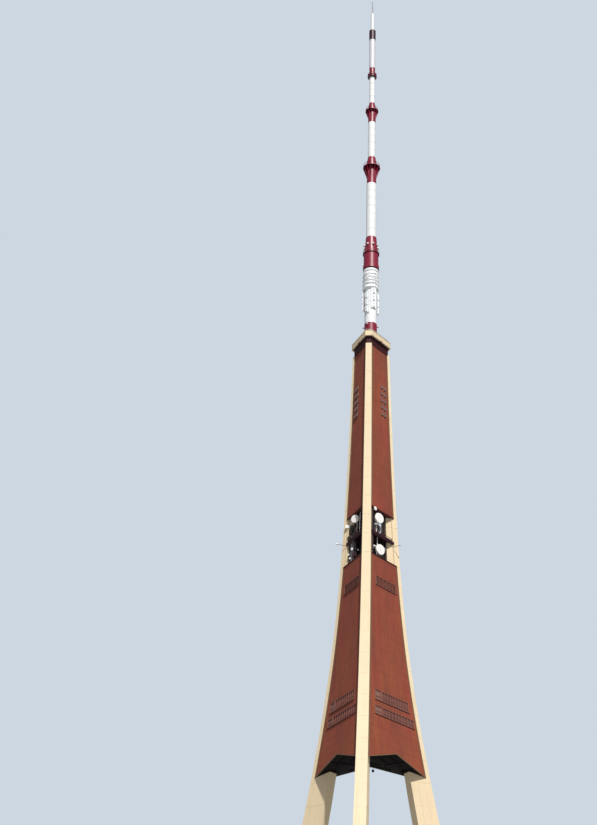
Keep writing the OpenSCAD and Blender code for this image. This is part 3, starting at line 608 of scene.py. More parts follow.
def sweepTree():
    # Edges become bars of one cross-section, upright beside their path
    tree, given, out = newTree("sweptBars", [("Wide", "Float"), ("Deep", "Float")])
    line = put(tree, "GeometryNodeMeshToCurve", {0: given["Geometry"]})
    upright = put(tree, "GeometryNodeSetCurveNormal", {0: line.outputs[0]}, mode="Z_UP")
    section = put(tree, "GeometryNodeCurvePrimitiveQuadrilateral", {
        "Width": given["Wide"], "Height": given["Deep"],
    })
    bar = put(tree, "GeometryNodeCurveToMesh", {
        "Curve": upright.outputs[0], "Profile Curve": section.outputs[0], "Fill Caps": True,
    })
    return ended(tree, out, bar, given["Finish"])


def placeTree():
    # Copies of one shape at the points of a mesh, each with its own turn and size
    tree, given, out = newTree("placedShapes", [("Shape", "Object")])
    shape = put(tree, "GeometryNodeObjectInfo", {"Object": given["Shape"]})
    turn, size = (
        put(tree, "GeometryNodeInputNamedAttribute", {"Name": label}, data_type="FLOAT_VECTOR").outputs[0]
        for label in ("turn", "size"))
    placed = put(tree, "GeometryNodeInstanceOnPoints", {
        "Points": given["Geometry"], "Instance": shape.outputs["Geometry"], "Rotation": turn, "Scale": size,
    })
    return ended(tree, out, placed, given["Finish"])


trees = {"sweep": sweepTree(), "place": placeTree()}


def meshObject(name, points, edges=(), polygons=()):
    mesh = bpy.data.meshes.new(name)
    mesh.from_pydata([tuple(p) for p in points], list(edges), list(polygons))
    made = bpy.data.objects.new(name, mesh)
    scene.collection.objects.link(made)
    return made


def settled(made):
    # Turn a piece into a plain mesh with its faces outwards, and tie it to the frame
    depsgraph = bpy.context.evaluated_depsgraph_get()
    depsgraph.update()
    mesh = bpy.data.meshes.new_from_object(made.evaluated_get(depsgraph), depsgraph=depsgraph)
    made.modifiers.clear()
    made.data = mesh
    shell = bmesh.new()
    shell.from_mesh(mesh)
    bmesh.ops.recalc_face_normals(shell, faces=shell.faces)
    shell.to_mesh(mesh)
    shell.free()
    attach(made, "root")


def grown(made, tree, values):
    # Run a geometry node tree on a piece; values go in by socket identifier before the first evaluation
    modifier = made.modifiers.new("grown", "NODES")
    modifier.node_group = trees[tree]
    for item in trees[tree].interface.items_tree:
        if item.in_out == "INPUT" and item.name in values:
            modifier[item.identifier] = values[item.name]
    settled(made)


def bars(name, paths, size, slot, look=None, closed=False):
    # paths: lists of points; size: across the path on the level and along its other side, or one for both
    wide, deep = size if isinstance(size, tuple) else (size, size)
    points, edges = [], []
    for path in paths:
        start = len(points)
        points += path
        edges += [(start + k, start + k + 1) for k in range(len(path) - 1)]
        if closed:
            edges.append((start + len(path) - 1, start))
    made = meshObject(name, points, edges)
    grown(made, "sweep", {"Wide": wide, "Deep": deep, "Finish": finishOf(slot, look)})


one = (1.0, 1.0, 1.0)
unturned = (0, 0, 0)


def copies(name, shape, spots, slot, look=None):
    # spots: (place, turn) or (place, turn, size) for each copy of the shape
    spots = [(*spot, one)[:3] for spot in spots]
    made = meshObject(name, [spot[0] for spot in spots])
    for label, k in (("turn", 1), ("size", 2)):
        field = made.data.attributes.new(label, "FLOAT_VECTOR", "POINT")
        field.data.foreach_set("vector", [v for spot in spots for v in spot[k]])
    grown(made, "place", {"Shape": shape, "Finish": finishOf(slot, look)})


def solids(name, stacks, slot, look=None):
    # Closed solids, each from a stack of rings with the same number of points
    points, polygons = [], []
    for rings in stacks:
        n, start = len(rings[0]), len(points)
        points += [p for ring in rings for p in ring]
        polygons += [[first + k for k in range(n)] for first in (start, start + (len(rings) - 1) * n)]
        for j in range(len(rings) - 1):
            base = start + j * n
            polygons += [
                (base + k, base + (k + 1) % n, base + n + (k + 1) % n, base + n + k) for k in range(n)
            ]
    made = meshObject(name, points, (), polygons)
    made.data.materials.append(finishOf(slot, look))
    settled(made)


shapes = []


def shapeOf(name, build):
    # A shape for copies; it is removed once they are made
    shell = bmesh.new()
    build(shell)
    mesh = bpy.data.meshes.new(name)
    shell.to_mesh(mesh)
    shell.free()
    made = bpy.data.objects.new(name, mesh)
    scene.collection.objects.link(made)
    shapes.append(made)
    return made


def layFlat(shell):  # turns what was built along +Z to face along +Y
    bmesh.ops.rotate(shell, cent=(0, 0, 0), matrix=Matrix.Rotation(-math.pi / 2, 3, "X"), verts=shell.verts)


def blockShape(name, x, y, z, edge):
    # A box with bevelled edges; it stands on its place and reaches out along +Y
    def build(shell):
        bmesh.ops.create_cube(shell, size=1.0)
        bmesh.ops.scale(shell, vec=(x, y, z), verts=shell.verts)
        bmesh.ops.bevel(shell, geom=shell.edges[:], offset=edge, segments=2, affect="EDGES", profile=0.6)
        bmesh.ops.translate(shell, vec=(0, y / 2, 0), verts=shell.verts)
    return shapeOf(name, build)


def turnedShape(name, profile, steps, upright=False):
    # A profile of (radius, height) turned about +Y, or about +Z when upright
    def build(shell):
        points = [shell.verts.new((r, 0, h)) for r, h in profile]
        edges = [shell.edges.new((a, b)) for a, b in zip(points, points[1:])]
        bmesh.ops.spin(
            shell, geom=points + edges, cent=(0, 0, 0), axis=(0, 0, 1), angle=math.tau, steps=steps,
            use_duplicate=False)
        bmesh.ops.remove_doubles(shell, verts=shell.verts, dist=1e-6)
        for face in shell.faces:
            face.smooth = True
        if not upright:
            layFlat(shell)
    return shapeOf(name, build)


hexHead = {"taper": 0.94, "lift": 0.7, "washer": (1.35, 1.3), "washerThick": 0.4}


def hexShape(name, across, thick):
    # A bolt head with a washer under it, facing along +Y
    r = across / root3

    def build(shell):
        bmesh.ops.create_cone(
            shell, cap_ends=True, segments=6, radius1=r, radius2=r * hexHead["taper"], depth=thick)
        bmesh.ops.translate(shell, vec=(0, 0, thick * hexHead["lift"]), verts=shell.verts)
        low, high = (r * share for share in hexHead["washer"])
        thin = thick * hexHead["washerThick"]
        bmesh.ops.create_cone(shell, cap_ends=True, segments=12, radius1=low, radius2=high, depth=thin)
        layFlat(shell)
    return shapeOf(name, build)


print("builders ready")

# Window and louvre rows of the lower walls: sill, height and ends as shares of half the wall
rows = {
    "observation": {"z": 10.05, "h": 0.21, "runs": ((-0.9, 0.44, 10), (0.48, 0.76, 1))},
    "gallery": {"z": 10.45, "h": 0.26, "runs": ((-0.76, 0.44, 10), (0.48, 0.76, 1))},
    "louvre": {"z": 13.85, "h": 0.25, "runs": ((-0.78, 0.64, 6),)},
}
# Each run as (lowest, highest, start, end, openings), in metres along the wall
runs = [
    (row["z"], row["z"] + row["h"], *(share * wallHalf(row["z"] + row["h"]) for share in ends), count)
    for row in rows.values() for *ends, count in row["runs"]]


def clearStretches(spots, blocked):
    # Cut a list of increasing levels into stretches that keep out of the blocked intervals
    stretches = [spots]
    for a, b in blocked:
        cut = []
        for piece in stretches:
            if piece[-1] <= a or piece[0] >= b:
                cut.append(piece)
                continue
            below = [v for v in piece if v < a] + [a] if piece[0] < a else []
            above = [b] + [v for v in piece if v > b] if piece[-1] > b else []
            cut += [part for part in (below, above) if len(part) > 1]
        stretches = cut
    return stretches


# Upright ribs of the cladding
ribs = {
    "pitch": 0.06, "most": 24, "bar": (0.007, 0.008), "side": 0.062, "step": 0.4, "margin": 0.022,
    "beside": 0.03,
}
paths = []
for face in faces:
    for k in range(-ribs["most"], ribs["most"] + 1):
        u = k * ribs["pitch"]
        blocked = [
            (low - ribs["margin"], high + ribs["margin"]) for low, high, start, end, _ in runs
            if start - ribs["beside"] < u < end + ribs["beside"]]
        for z0, z1 in ((lowEdge(u) + ribs["beside"], mast["deck"]), (mast["ceiling"], mast["legTop"])):
            spots = [z for z in stepped(z0, z1, ribs["step"]) if wallHalf(z) > abs(u) + ribs["side"]]
            if len(spots) > 1:
                paths += [[onFace(face, u, z) for z in part] for part in clearStretches(spots, blocked)]
bars("cladding_ribs", paths, ribs["bar"], "rust_cladding")

# Level joint strips across the cladding
joints = {
    "pitch": 0.45, "bar": (0.004, 0.010), "side": 0.05, "margin": 0.02, "foot": 0.12, "head": 0.1,
}
paths = []
for face in faces:
    for z0, z1 in ((haunchTop, mast["deck"]), (mast["ceiling"], mast["legTop"])):
        for z in levels(z0 + joints["foot"], z1 - joints["head"], round((z1 - z0) / joints["pitch"])):
            reach = wallHalf(z) - joints["side"]
            blocked = [
                (start - joints["margin"], end + joints["margin"]) for low, high, start, end, _ in runs
                if low - joints["margin"] < z < high + joints["margin"]]
            paths += [levelLine(face, *part, z) for part in clearStretches([-reach, reach], blocked)]
bars("cladding_joints", paths, joints["bar"], "rust_cladding")
print("cladding ribs and joints done")

# Brown flashing on the walls beside every leg
flashing = {"wide": 0.052, "proud": 0.007, "step": 0.35, "gap": 0.002, "foot": 0.03, "head": 0.01}
stacks = []
for face in faces:
    for side in (-1, 1):
        for z0, z1 in (
                (mast["bodyLow"] + flashing["foot"], mast["deck"]),
                (mast["ceiling"], mast["legTop"] - flashing["head"])):
            stacks.append([])
            for z in stepped(z0, z1, flashing["step"]):
                edge = wallHalf(z) - flashing["gap"]
                inner, proud = edge - flashing["wide"], flashing["proud"]
                stacks[-1].append([
                    onFace(face, side * u, z, out)
                    for u, out in ((inner, 0), (edge, 0), (edge, proud), (inner, proud))])
solids("leg_flashings", stacks, "rust_cladding", "flashing")

# Brown edging along the body's lower edge, and dark cappings along the walls' other level edges
edging = {"high": 0.02, "proud": 0.01, "lap": 0.003, "lip": 0.002, "gap": 0.004}
section = (
    (-edging["lap"], -mast["cladding"]), (-edging["lap"], edging["proud"]), (edging["high"], edging["proud"]),
    (edging["high"], 0.0), (edging["lip"], 0.0), (edging["lip"], -mast["cladding"]))
reach = wallHalf(mast["bodyLow"]) - edging["gap"]
solids("lower_edging", [
    [[onFace(face, u, lowEdge(u) + rise, out) for rise, out in section] for u in ends]
    for face in faces for ends in ((-reach, 0.0), (0.0, reach))], "rust_cladding", "flashing")
capping = {"high": 0.03, "proud": 0.012, "gap": 0.004, "below": 0.005}
section = ((0, 0.0), (0, capping["proud"]), (capping["high"], capping["proud"]), (capping["high"], 0.0))
stacks = []
for face in faces:
    for top in (mast["deck"], mast["ceiling"] + capping["high"], mast["legTop"] - capping["below"]):
        reach = wallHalf(top) - capping["gap"]
        stacks.append(strip(face, (-reach, reach), top - capping["high"], section))
solids("wall_cappings", stacks, "maroon_paint")
print("flashings and edging done")

# Frames round each row, a pane and bars in each opening, and a lighter sheet in the single one
frames = {
    "bar": 0.012, "deep": 0.016, "fine": 0.006, "post": 0.026, "transom": 0.36, "lean": 0.0012,
    "slats": 9, "slatGap": 0.004, "slatHigh": 0.024, "fineOut": -0.008, "transomOut": -0.009,
    "paneIn": -0.014, "paneOut": -0.011, "paneGap": 0.001, "lap": 0.002, "sillPast": 0.03,
}
slatSection = ((0.0, -0.002), (0.003, -0.001), (0.022, -0.013), (0.019, -0.014))
sillSection = ((-0.026, 0.0), (-0.026, 0.016), (-0.018, 0.022), (-0.012, 0.0))
level, upright, fine, single, panes, slats, sills = ([] for _ in range(7))
for face in faces:
    for low, high, start, end, count in runs:
        level += [levelLine(face, start, end, z) for z in (low - frames["bar"] / 2, high + frames["bar"] / 2)]
        upright += [uprightLine(face, u, low - frames["bar"], high + frames["bar"]) for u in (start, end)]
        sills.append(strip(face, (start - frames["sillPast"], end + frames["sillPast"]), low, sillSection))
        if low == rows["louvre"]["z"]:
            ends = (start + frames["slatGap"], end - frames["slatGap"])
            heights = levels(low + frames["lap"], high - frames["slatHigh"], frames["slats"])
            slats += [strip(face, ends, z, slatSection) for z in heights]
            continue
        pitch = (end - start) / count
        half = (pitch - frames["post"]) / 2
        bottom, top = low + frames["lap"], high - frames["lap"]
        for k in range(count):
            u = start + (k + 0.5) * pitch
            fine.append(uprightLine(face, u, low, high, frames["fineOut"]))
            if k:
                upright.append(uprightLine(face, u - pitch / 2, low, high))
            transom = low + (high - low) * frames["transom"]
            level.append(levelLine(face, u - half, u + half, transom, frames["transomOut"]))
            leans = [random.uniform(-1, 1) * frames["lean"] for _ in range(2)]
            edges = (u - half + frames["paneGap"], u + half - frames["paneGap"])
            (single if count == 1 else panes).append([
                [onFace(face, x, z, out + lean) for z, out in (
                    (bottom, frames["paneIn"]), (bottom, frames["paneOut"]),
                    (top, frames["paneOut"]), (top, frames["paneIn"]))]
                for x, lean in zip(edges, leans)])
bars("window_rails", level, (frames["deep"], frames["bar"]), "maroon_paint", "louvre")
bars("window_posts", upright, (frames["bar"], frames["deep"]), "maroon_paint", "louvre")
bars("window_bars", fine, frames["fine"], "maroon_paint", "louvre")
solids("single_panes", single, "glazing", "trim")
solids("window_panes", panes, "glazing")
solids("louvre_slats", slats, "maroon_paint", "louvre")
solids("window_sills", sills, "maroon_paint", "sill")
print("windows done")

# Legs: welded joints round them and stiffener lines along them
seams = {"low": 0.75, "top": 21.4, "count": 34, "high": 0.012, "proud": 0.003}
stiffeners = {"low": 0.45, "top": 8.6, "steps": 20, "shares": (0.33, 0.67), "bar": (0.006, 0.012)}


def legRing(leg, z, proud):
    w, outer, inner = legWide(z) / 2 + proud, legR(z) + proud, legIn(z) - proud
    return [turned(leg, x, -r, z) for x, r in ((-w, outer), (w, outer), (w, inner), (-w, inner))]


def legLine(leg, side, share):
    return [
        turned(leg, side * legWide(z) / 2, -(legIn(z) + (legR(z) - legIn(z)) * share), z)
        for z in levels(stiffeners["low"], stiffeners["top"], stiffeners["steps"])]


solids("leg_seams", [
    [legRing(leg, z + rise, seams["proud"]) for rise in (0, seams["high"])]
    for leg in thirds for z in levels(seams["low"], seams["top"], seams["count"])], "cream_paint")
bars("leg_stiffeners", [
    legLine(leg, side, share) for leg in thirds for share in stiffeners["shares"] for side in (-1, 1)],
    stiffeners["bar"], "cream_paint")

# Feet: gussets on both sides of each leg, and bolts beside them and at the two ends
foot = {
    "top": 0.324, "gusset": 0.2, "reach": 0.09, "toe": 0.02, "thick": 0.014, "lap": 0.004,
    "shares": (0.12, 0.88), "bolt": 0.034, "boltHigh": 0.02, "boltOut": 0.052, "past": 0.06, "low": 0.024,
    "spread": 0.75,
}
bolt = hexShape("boltHead", foot["bolt"], foot["boltHigh"])
gussets, studs = [], []
z = foot["top"]
w, outer, inner = legWide(z) / 2, legR(z), legIn(z)
outline = (
    (w - foot["lap"], z, 0.0), (w + foot["reach"], z, 0.0), (w + foot["reach"], z + foot["toe"], 0.0),
    (w - foot["lap"], z + foot["gusset"], -mast["splay"] * foot["gusset"]))
for leg in thirds:
    upwards = (math.pi / 2, 0, math.radians(120 * leg))
    for share in levels(*foot["shares"], 4):
        r = inner + (outer - inner) * share
        for side in (-1, 1):
            gussets.append([
                [turned(leg, side * x, -(r + half + shift), height) for x, height, shift in outline]
                for half in (-foot["thick"] / 2, foot["thick"] / 2)])
            studs.append((turned(leg, side * (w + foot["boltOut"]), -(r + foot["past"]), z), upwards))
    for x in levels(-w * foot["spread"], w * foot["spread"], 3):
        for r in (outer + foot["past"], inner - foot["past"]):
            studs.append((turned(leg, x, -r, z - foot["low"]), upwards))
solids("foot_gussets", gussets, "cream_paint")
copies("foot_bolts", bolt, studs, "grey_steel")

# Marks of the casting boards round each footing
marks = {"levels": (0.1, 0.2), "past": 0.24, "batter": 0.08, "proud": 0.004, "high": 0.012, "inset": 0.003}
z = mast["footing"]
middle, long = (legR(z) + legIn(z)) / 2, (legR(z) - legIn(z)) / 2 + marks["past"]
wide = legWide(z) / 2 + marks["past"]
stacks = []
for leg in thirds:
    for height in marks["levels"]:
        stacks.append([])
        for rise, inset in ((0.0, 0.0), (marks["high"], marks["inset"])):
            cut = marks["batter"] * height / z - marks["proud"] + inset
            stacks[-1].append([
                turned(leg, x * (wide - cut), -(middle + y * (long - cut)), height + rise)
                for x, y in ((-1, 1), (1, 1), (1, -1), (-1, -1))])
solids("footing_board_marks", stacks, "concrete")
print("legs and footings done")

# Underside of the body: ribs that run out to the walls, and ribs across them, in the underside's near-black
# painted shade
lowRibs = {
    "bar": (0.02, 0.03), "shares": (-0.66, -0.33, 0.0, 0.33, 0.66), "below": 0.006, "short": 0.05,
    "nearest": 0.12, "inner": 0.62, "across": (0.35, 0.65), "acrossShare": 0.9, "acrossBelow": 0.01,
}
lines = []
for i in thirds:
    for share in lowRibs["shares"]:
        u = share * wallHalf(haunchTop)
        reach = wallIn(haunchTop) - lowRibs["short"]
        near = max(lowRibs["nearest"], abs(u) * lowRibs["inner"])
        lines.append([turned(i, u, q, lowEdge(u) - lowRibs["below"]) for q in levels(near, reach, 4)])
    for q in lowRibs["across"]:
        reach = q * lowRibs["acrossShare"]
        lines.append([turned(i, u, q, lowEdge(u) - lowRibs["acrossBelow"]) for u in levels(-reach, reach, 4)])
bars("underside_ribs", lines, lowRibs["bar"], "dark_steel", "soffit")
print("underside done")

# Open storeys: what stands in them, in rows of (along the face, inset, height, wider, higher)
deck = mast["deck"]
cabinets = (
    (0.30, 0.26, deck + 0.15, 1.3, 1.1), (0.12, 0.24, deck + 0.13, 1.2, 0.9),
    (0.34, 0.26, plateTop + 0.14, 1.0, 1.0))
boxes = ((0.22, 0.1, deck + 0.42, 1.0, 1.0), (-0.3, 0.14, deck + 0.33, 1.0, 1.3))
# Dark screens that fill the left bay and cover the leg's cream inner face; their near-black is partly painted
# shade
leftScreens = (
    (0.05, 0.16, 15.62, 1.2, 1.3), (0.2, 0.16, 15.66, 1.1, 1.2), (0.34, 0.16, 15.63, 1.0, 0.9),
    (-0.1, 0.16, 15.7, 1.0, 1.1), (0.1, 0.16, 14.95, 1.3, 1.2), (0.27, 0.16, 14.98, 1.1, 1.4),
    (-0.08, 0.16, 15.05, 1.2, 1.6), (0.0, 0.16, 15.26, 1.6, 0.6), (0.22, 0.16, 15.3, 1.3, 0.5),
    (-0.2, 0.16, 15.3, 1.3, 0.6), (-0.22, 0.16, 14.95, 1.0, 1.0), (0.14, 0.2, 15.85, 1.0, 1.9),
    (-0.02, 0.2, 15.8, 0.9, 1.8), (0.10, 0.2, 15.12, 1.1, 1.8), (-0.06, 0.2, 15.1, 1.0, 1.6))
leaningScreens = (
    (0.34, 0.05, 15.66, 0.9, 0.8), (0.24, 0.04, 15.62, 0.8, 0.6), (0.15, 0.06, 15.74, 0.7, 0.9),
    (0.42, 0.05, 15.78, 0.5, 0.4), (0.24, 0.05, 15.02, 0.9, 1.1), (0.37, 0.04, 15.2, 0.9, 0.7),
    (0.33, 0.06, 15.3, 1.3, 0.5), (0.08, 0.05, 15.1, 0.8, 0.8), (0.12, 0.05, 15.3, 1.2, 0.6),
    (0.53, 0.03, 15.18, 1.0, 1.0), (0.46, 0.04, 15.08, 1.1, 1.2), (0.52, 0.03, 14.93, 1.2, 0.9),
    (0.40, 0.05, 14.94, 1.1, 1.1), (0.5, 0.03, 15.33, 1.3, 0.5), (0.48, 0.02, 15.58, 1.1, 0.7),
    (0.28, 0.06, 15.84, 0.8, 0.6), (0.38, 0.05, 15.92, 0.8, 0.5), (0.2, 0.08, 15.95, 0.8, 0.8))
fadedScreens = (
    ("moss", (0.47, 0.03, 15.76, 0.9, 0.9)), ("moss", (0.36, 0.01, 15.68, 0.5, 0.7)),
    ("mauve", (0.30, 0.02, 15.76, 0.45, 0.5)), ("mauve", (0.14, 0.04, 15.9, 0.6, 0.5)),
    ("moss", (0.44, 0.01, 15.6, 0.5, 0.4)), ("mauve", (0.16, 0.02, 14.98, 0.7, 0.4)),
    ("mauve", (-0.02, 0.03, 14.93, 0.6, 0.35)), ("moss", (0.55, 0.01, 15.0, 0.4, 0.5)),
    ("mauve", (0.05, 0.05, 15.72, 0.5, 0.5)), ("mauve", (-0.05, 0.05, 15.6, 0.6, 0.3)),
    ("mauve", (0.28, 0.01, 15.58, 0.5, 0.25)))
# Dark screens at the back of the right and back bays; their near-black is partly painted shade
farScreens = ((-0.05, 0.3, 15.0, 0.9, 1.2), (0.25, 0.3, 15.3, 1.2, 0.5), (-0.22, 0.3, 15.28, 1.2, 0.5))


def stood(face, rows, side=1, swing=0):
    # Spots of shapes inside a face, each turned at random by up to swing degrees
    spots = []
    for u, inset, z, wide, high in rows:
        turn = swing * random.uniform(-1, 1) if swing else 0.0
        spots.append((inFace(face, side * u, inset, z), faceTurn(face, turn), (wide, 1.0, high)))
    return spots


dark, grey = (
    [spot for face in faces for spot in stood(face, rows, farSide(face))] for rows in (cabinets, boxes))
screens = stood("left", leftScreens) + stood("left", leaningScreens, swing=20)
faded = {"moss": [], "mauve": []}
for look, row in fadedScreens:
    faded[look] += stood("left", [row], swing=15)
screens += stood("right", farScreens) + stood("back", farScreens)
screen = blockShape("screen", 0.16, 0.012, 0.3, 0.004)
copies("storey_cabinets", blockShape("cabinet", 0.12, 0.09, 0.26, 0.008), dark, "dark_steel")
copies("storey_boxes", blockShape("smallBox", 0.07, 0.05, 0.09, 0.006), grey, "grey_steel")
# The dark screens stand partly for the bays' painted shade
copies("storey_screens", screen, screens, "dark_steel")
copies("mossy_screens", screen, faded["moss"], "dark_steel", "moss")
copies("mauve_screens", screen, faded["mauve"], "dark_steel", "mauve")
aerials = {"u": 0.47, "z": 15.0, "out": -0.02, "size": (1.2, 1.0, 0.7)}
copies("storey_aerials", blockShape("aerial", 0.05, 0.05, 0.05, 0.006), [
    (onFace(face, aerials["u"], aerials["z"], aerials["out"]), faceTurn(face), aerials["size"])
    for face in ("right", "back")], "white_cover", "dish")

# Cable trays across the storeys and conduits up them
runsInside = {
    "trays": (
        (mast["platform"] - 0.09, 0.17), (mast["ceiling"] - 0.07, 0.17), (deck + 0.35, 0.19)),
    "side": 0.2, "tray": (0.05, 0.018), "pipes": ((0.2, 0.2), (-0.12, 0.22)), "pipe": 0.012,
    "tilt": 0.0004,
}
trays, pipes = [], []
for face in faces:
    for z, inset in runsInside["trays"]:
        reach = wallHalf(z) - runsInside["side"]
        trays.append([inFace(face, u, inset, z) for u in (-reach, reach)])
    for share, inset in runsInside["pipes"]:
        u = -farSide(face) * share
        bays = [(deck, mast["platform"]), (plateTop, mast["ceiling"])]
        for z0, z1 in bays if share < 0 or face == "left" else bays[:1]:
            pipes.append([inFace(face, u, inset - runsInside["tilt"], z0), inFace(face, u, inset, z1)])
bars("cable_trays", trays, runsInside["tray"], "maroon_paint")
bars("conduits", pipes, runsInside["pipe"], "dark_steel")

# Lamps on outriggers as (along, height, out, size), with a light box on an arm of its own
outriggers = {
    "left": (0.553, 15.397, 0.27, 1.3), "right": (-0.531, 15.324, 0.25, 0.75),
    "back": (-0.531, 15.324, 0.25, 0.75),
}
mounting = {
    "root": -0.03, "lampIn": 0.01, "wide": 0.01, "boxArm": (0.44, 0.58), "boxAt": 0.475, "boxZ": 15.99,
    "boxOut": -0.01,
}
lamp = turnedShape("roundLamp", [
    (0, 0), (0.02, 0), (0.024, 0.008), (0.024, 0.03), (0.014, 0.042), (0, 0.045)], 20)
copies("outrigger_lamps", lamp, [
    (onFace(face, u, z, out - mounting["lampIn"]), faceTurn(face), (size, size, size))
    for face, (u, z, out, size) in outriggers.items()], "white_cover", "dish")
arms = [
    [onFace(face, u, z, mounting["root"]), onFace(face, u, z, out)]
    for face, (u, z, out, _) in outriggers.items()]
arms.append(levelLine("left", *mounting["boxArm"], mounting["boxZ"], mounting["root"]))
bars("outrigger_arms", arms, mounting["wide"], "grey_steel", "sill")
copies("floodlights", blockShape("lightBox", 0.175, 0.06, 0.085, 0.008), [
    (onFace("left", mounting["boxAt"], mounting["boxZ"], mounting["boxOut"]), unturned)],
    "white_cover", "dish")

# A slim pole in the left bay
pole = {"u": -0.165, "out": -0.1, "wide": 0.016}
line = [
    onFace("left", pole["u"], z, pole["out"] + shift)
    for z, shift in ((plateTop, tilt), (mast["ceiling"], 0))]
bars("slim_pole", [line], pole["wide"], "white_cover", "dish")

# Railings: thin uprights between the posts
rail = {"inset": 0.034, "gap": 0.01, "count": 24, "foot": 0.03, "top": 0.104, "wide": 0.004}
q = wallIn(plateTop) - rail["inset"]
reach = root3 * q - legWide(plateTop) - rail["gap"]
uprights = [
    [turned(i, u, q + tilt, plateTop + rail["foot"]), turned(i, u, q, plateTop + rail["top"])]
    for i in thirds for u in levels(-reach, reach, rail["count"])]
bars("rail_balusters", uprights, rail["wide"], "grey_steel", "sill")
print("open storeys done")

# Dishes as (face, along, height, aim, size): a rim band, a seam ring and a boss on each, and clips round it
upperZ, lowerZ = mast["ceiling"] - 0.23, deck + 0.25
aims = [(face, 0.152, z, 13.0, 1.0) for face in ("right", "back") for z in (upperZ, lowerZ)]
aims.append(("left", 0.0, upperZ + 0.065, -36.0, 0.79))
dish = {"r": 0.156, "clipIn": 0.05, "clips": 8, "first": 22.5}
rim = turnedShape("dishRim", [
    (0.1, -0.01), (0.152, -0.01), (0.158, -0.014), (0.160, -0.03), (0.158, -0.046), (0.154, -0.05)], 64)
ring = turnedShape("dishSeam", [(0.066, 0.0), (0.068, 0.003), (0.072, 0.003), (0.074, 0.0)], 48)
boss = turnedShape("dishBoss", [(0.0, 0.008), (0.008, 0.008), (0.013, 0.004), (0.014, 0.0)], 24)
fronts, clips = [], []
for face, u, z, aim, size in aims:
    turn, full = faceTurn(face, aim), (size, size, size)
    fronts.append((onFace(face, u, z), turn, full))
    for k in range(dish["clips"]):
        angle = math.radians(dish["first"] + 360 / dish["clips"] * k)
        beside = Vector((dish["r"] * math.cos(angle), -dish["clipIn"], dish["r"] * math.sin(angle))) * size
        beside.rotate(Matrix.Rotation(turn[2], 3, "Z"))
        clips.append((onFace(face, u, z) + beside, (0, -angle, turn[2]), full))
copies("dish_rims", rim, fronts, "white_cover", "dish")
copies("dish_seams", ring, fronts, "white_cover", "dish")
copies("dish_bosses", boss, fronts, "grey_steel")
copies("dish_clips", blockShape("dishClip", 0.02, 0.03, 0.014, 0.003), clips, "grey_steel")
print("dishes done")

# Panel arrays: two cross bars and four feed blocks on every panel
arrays = {
    "z": 19.55, "pitch": 0.235, "rows": 5, "columns": (0.08, 0.24), "size": 0.104, "off": 0.024,
    "edge": 0.008, "bars": (-0.68, 0.68), "bar": (0.01, 0.006), "barIn": 0.004, "feedIn": 0.008,
    "feeds": ((-0.022, 0.016), (0.022, 0.016), (-0.022, -0.016), (0.022, -0.016)),
}
cross, feeds = [], []
half = arrays["size"] / 2 - arrays["edge"]
spots = [
    (face, farSide(face) * column, arrays["z"] + k * arrays["pitch"])
    for face in faces for column in arrays["columns"] for k in range(arrays["rows"])]
for face, u, z in spots:
    out = arrays["off"] + wallOut(z - arrays["size"] / 2) - wallOut(z)
    for share in arrays["bars"]:
        cross.append(levelLine(face, u - half, u + half, z + share * half, out - arrays["barIn"]))
    for du, dz in arrays["feeds"]:
        feeds.append((onFace(face, u + du, z + dz, out - arrays["feedIn"]), faceTurn(face)))
bars("array_bars", cross, arrays["bar"], "grey_steel", "array")
copies("array_feeds", blockShape("feedBox", 0.03, 0.012, 0.02, 0.003), feeds, "white_cover", "mount")
print("arrays done")

# Cap: lips, drips and joints of the fascia, and a railing on the roof
cap = {
    "low": 22.06, "high": 22.26, "reach": 0.028, "edge": 0.008, "lip": 0.03, "lipBar": (0.012, 0.016),
    "drip": 0.029, "dripBar": (0.008, 0.012), "bar": 0.008,
    "rails": (0.09, 0.045), "inset": -0.03, "bays": 5, "foot": -0.12, "postTop": 0.094,
    "postTilt": 0.0004, "joints": (0.17, 0.34, 0.66, 0.83), "joint": 0.006, "jointFoot": 0.016,
    "jointTop": 0.182,
}
corners = [(side, i) for i in thirds for side in (-1, 1)]


def capPoint(corner, out, z):
    side, i = corner
    w = legWide(mast["legTop"]) + 2 * out / root3
    return turned(i, side * w / 2, -legR(mast["legTop"]) - out, z)


def capRound(out, z):
    return [capPoint(corner, out, z) for corner in corners]


def post(spot, low, high, shift):
    return [spot + Vector((shift, 0, low)), spot + Vector((0, 0, high))]


lips, drips = capRound(cap["lip"], cap["high"] - cap["edge"]), capRound(cap["drip"], cap["low"] + cap["edge"])
rails = [capRound(cap["inset"], cap["high"] + rise) for rise in cap["rails"]]
bars("fascia_lips", [lips], cap["lipBar"], "cream_paint", closed=True)
bars("fascia_drips", [drips], cap["dripBar"], "cream_paint", "trim", closed=True)
bars("roof_rails", rails, cap["bar"], "grey_steel", closed=True)
posts, strips = [], []
for first, second in zip(corners, corners[1:] + corners[:1]):
    along = first[1] != second[1]
    bays = cap["bays"] if along else 1
    a, b = (capPoint(corner, cap["inset"], cap["high"]) for corner in (first, second))
    posts += [post(a.lerp(b, k / bays), cap["foot"], cap["postTop"], cap["postTilt"]) for k in range(bays)]
    if along:
        a, b = (capPoint(corner, cap["reach"], cap["low"]) for corner in (first, second))
        for share in cap["joints"]:
            strips.append(post(a.lerp(b, share), cap["jointFoot"], cap["jointTop"], tilt))
bars("roof_posts", posts, cap["bar"], "grey_steel")
bars("fascia_joints", strips, cap["joint"], "cream_paint")
print("cap done")

# Antenna: the levels of its sections
tube = [cap["low"] + 0.03]
for length in (0.75, 2.09, 1.27, 2.22, 1.14, 1.54, 0.87, 1.2, 0.42, 1.35, 0.45, 0.84, 0.62):
    tube.append(tube[-1] + length)

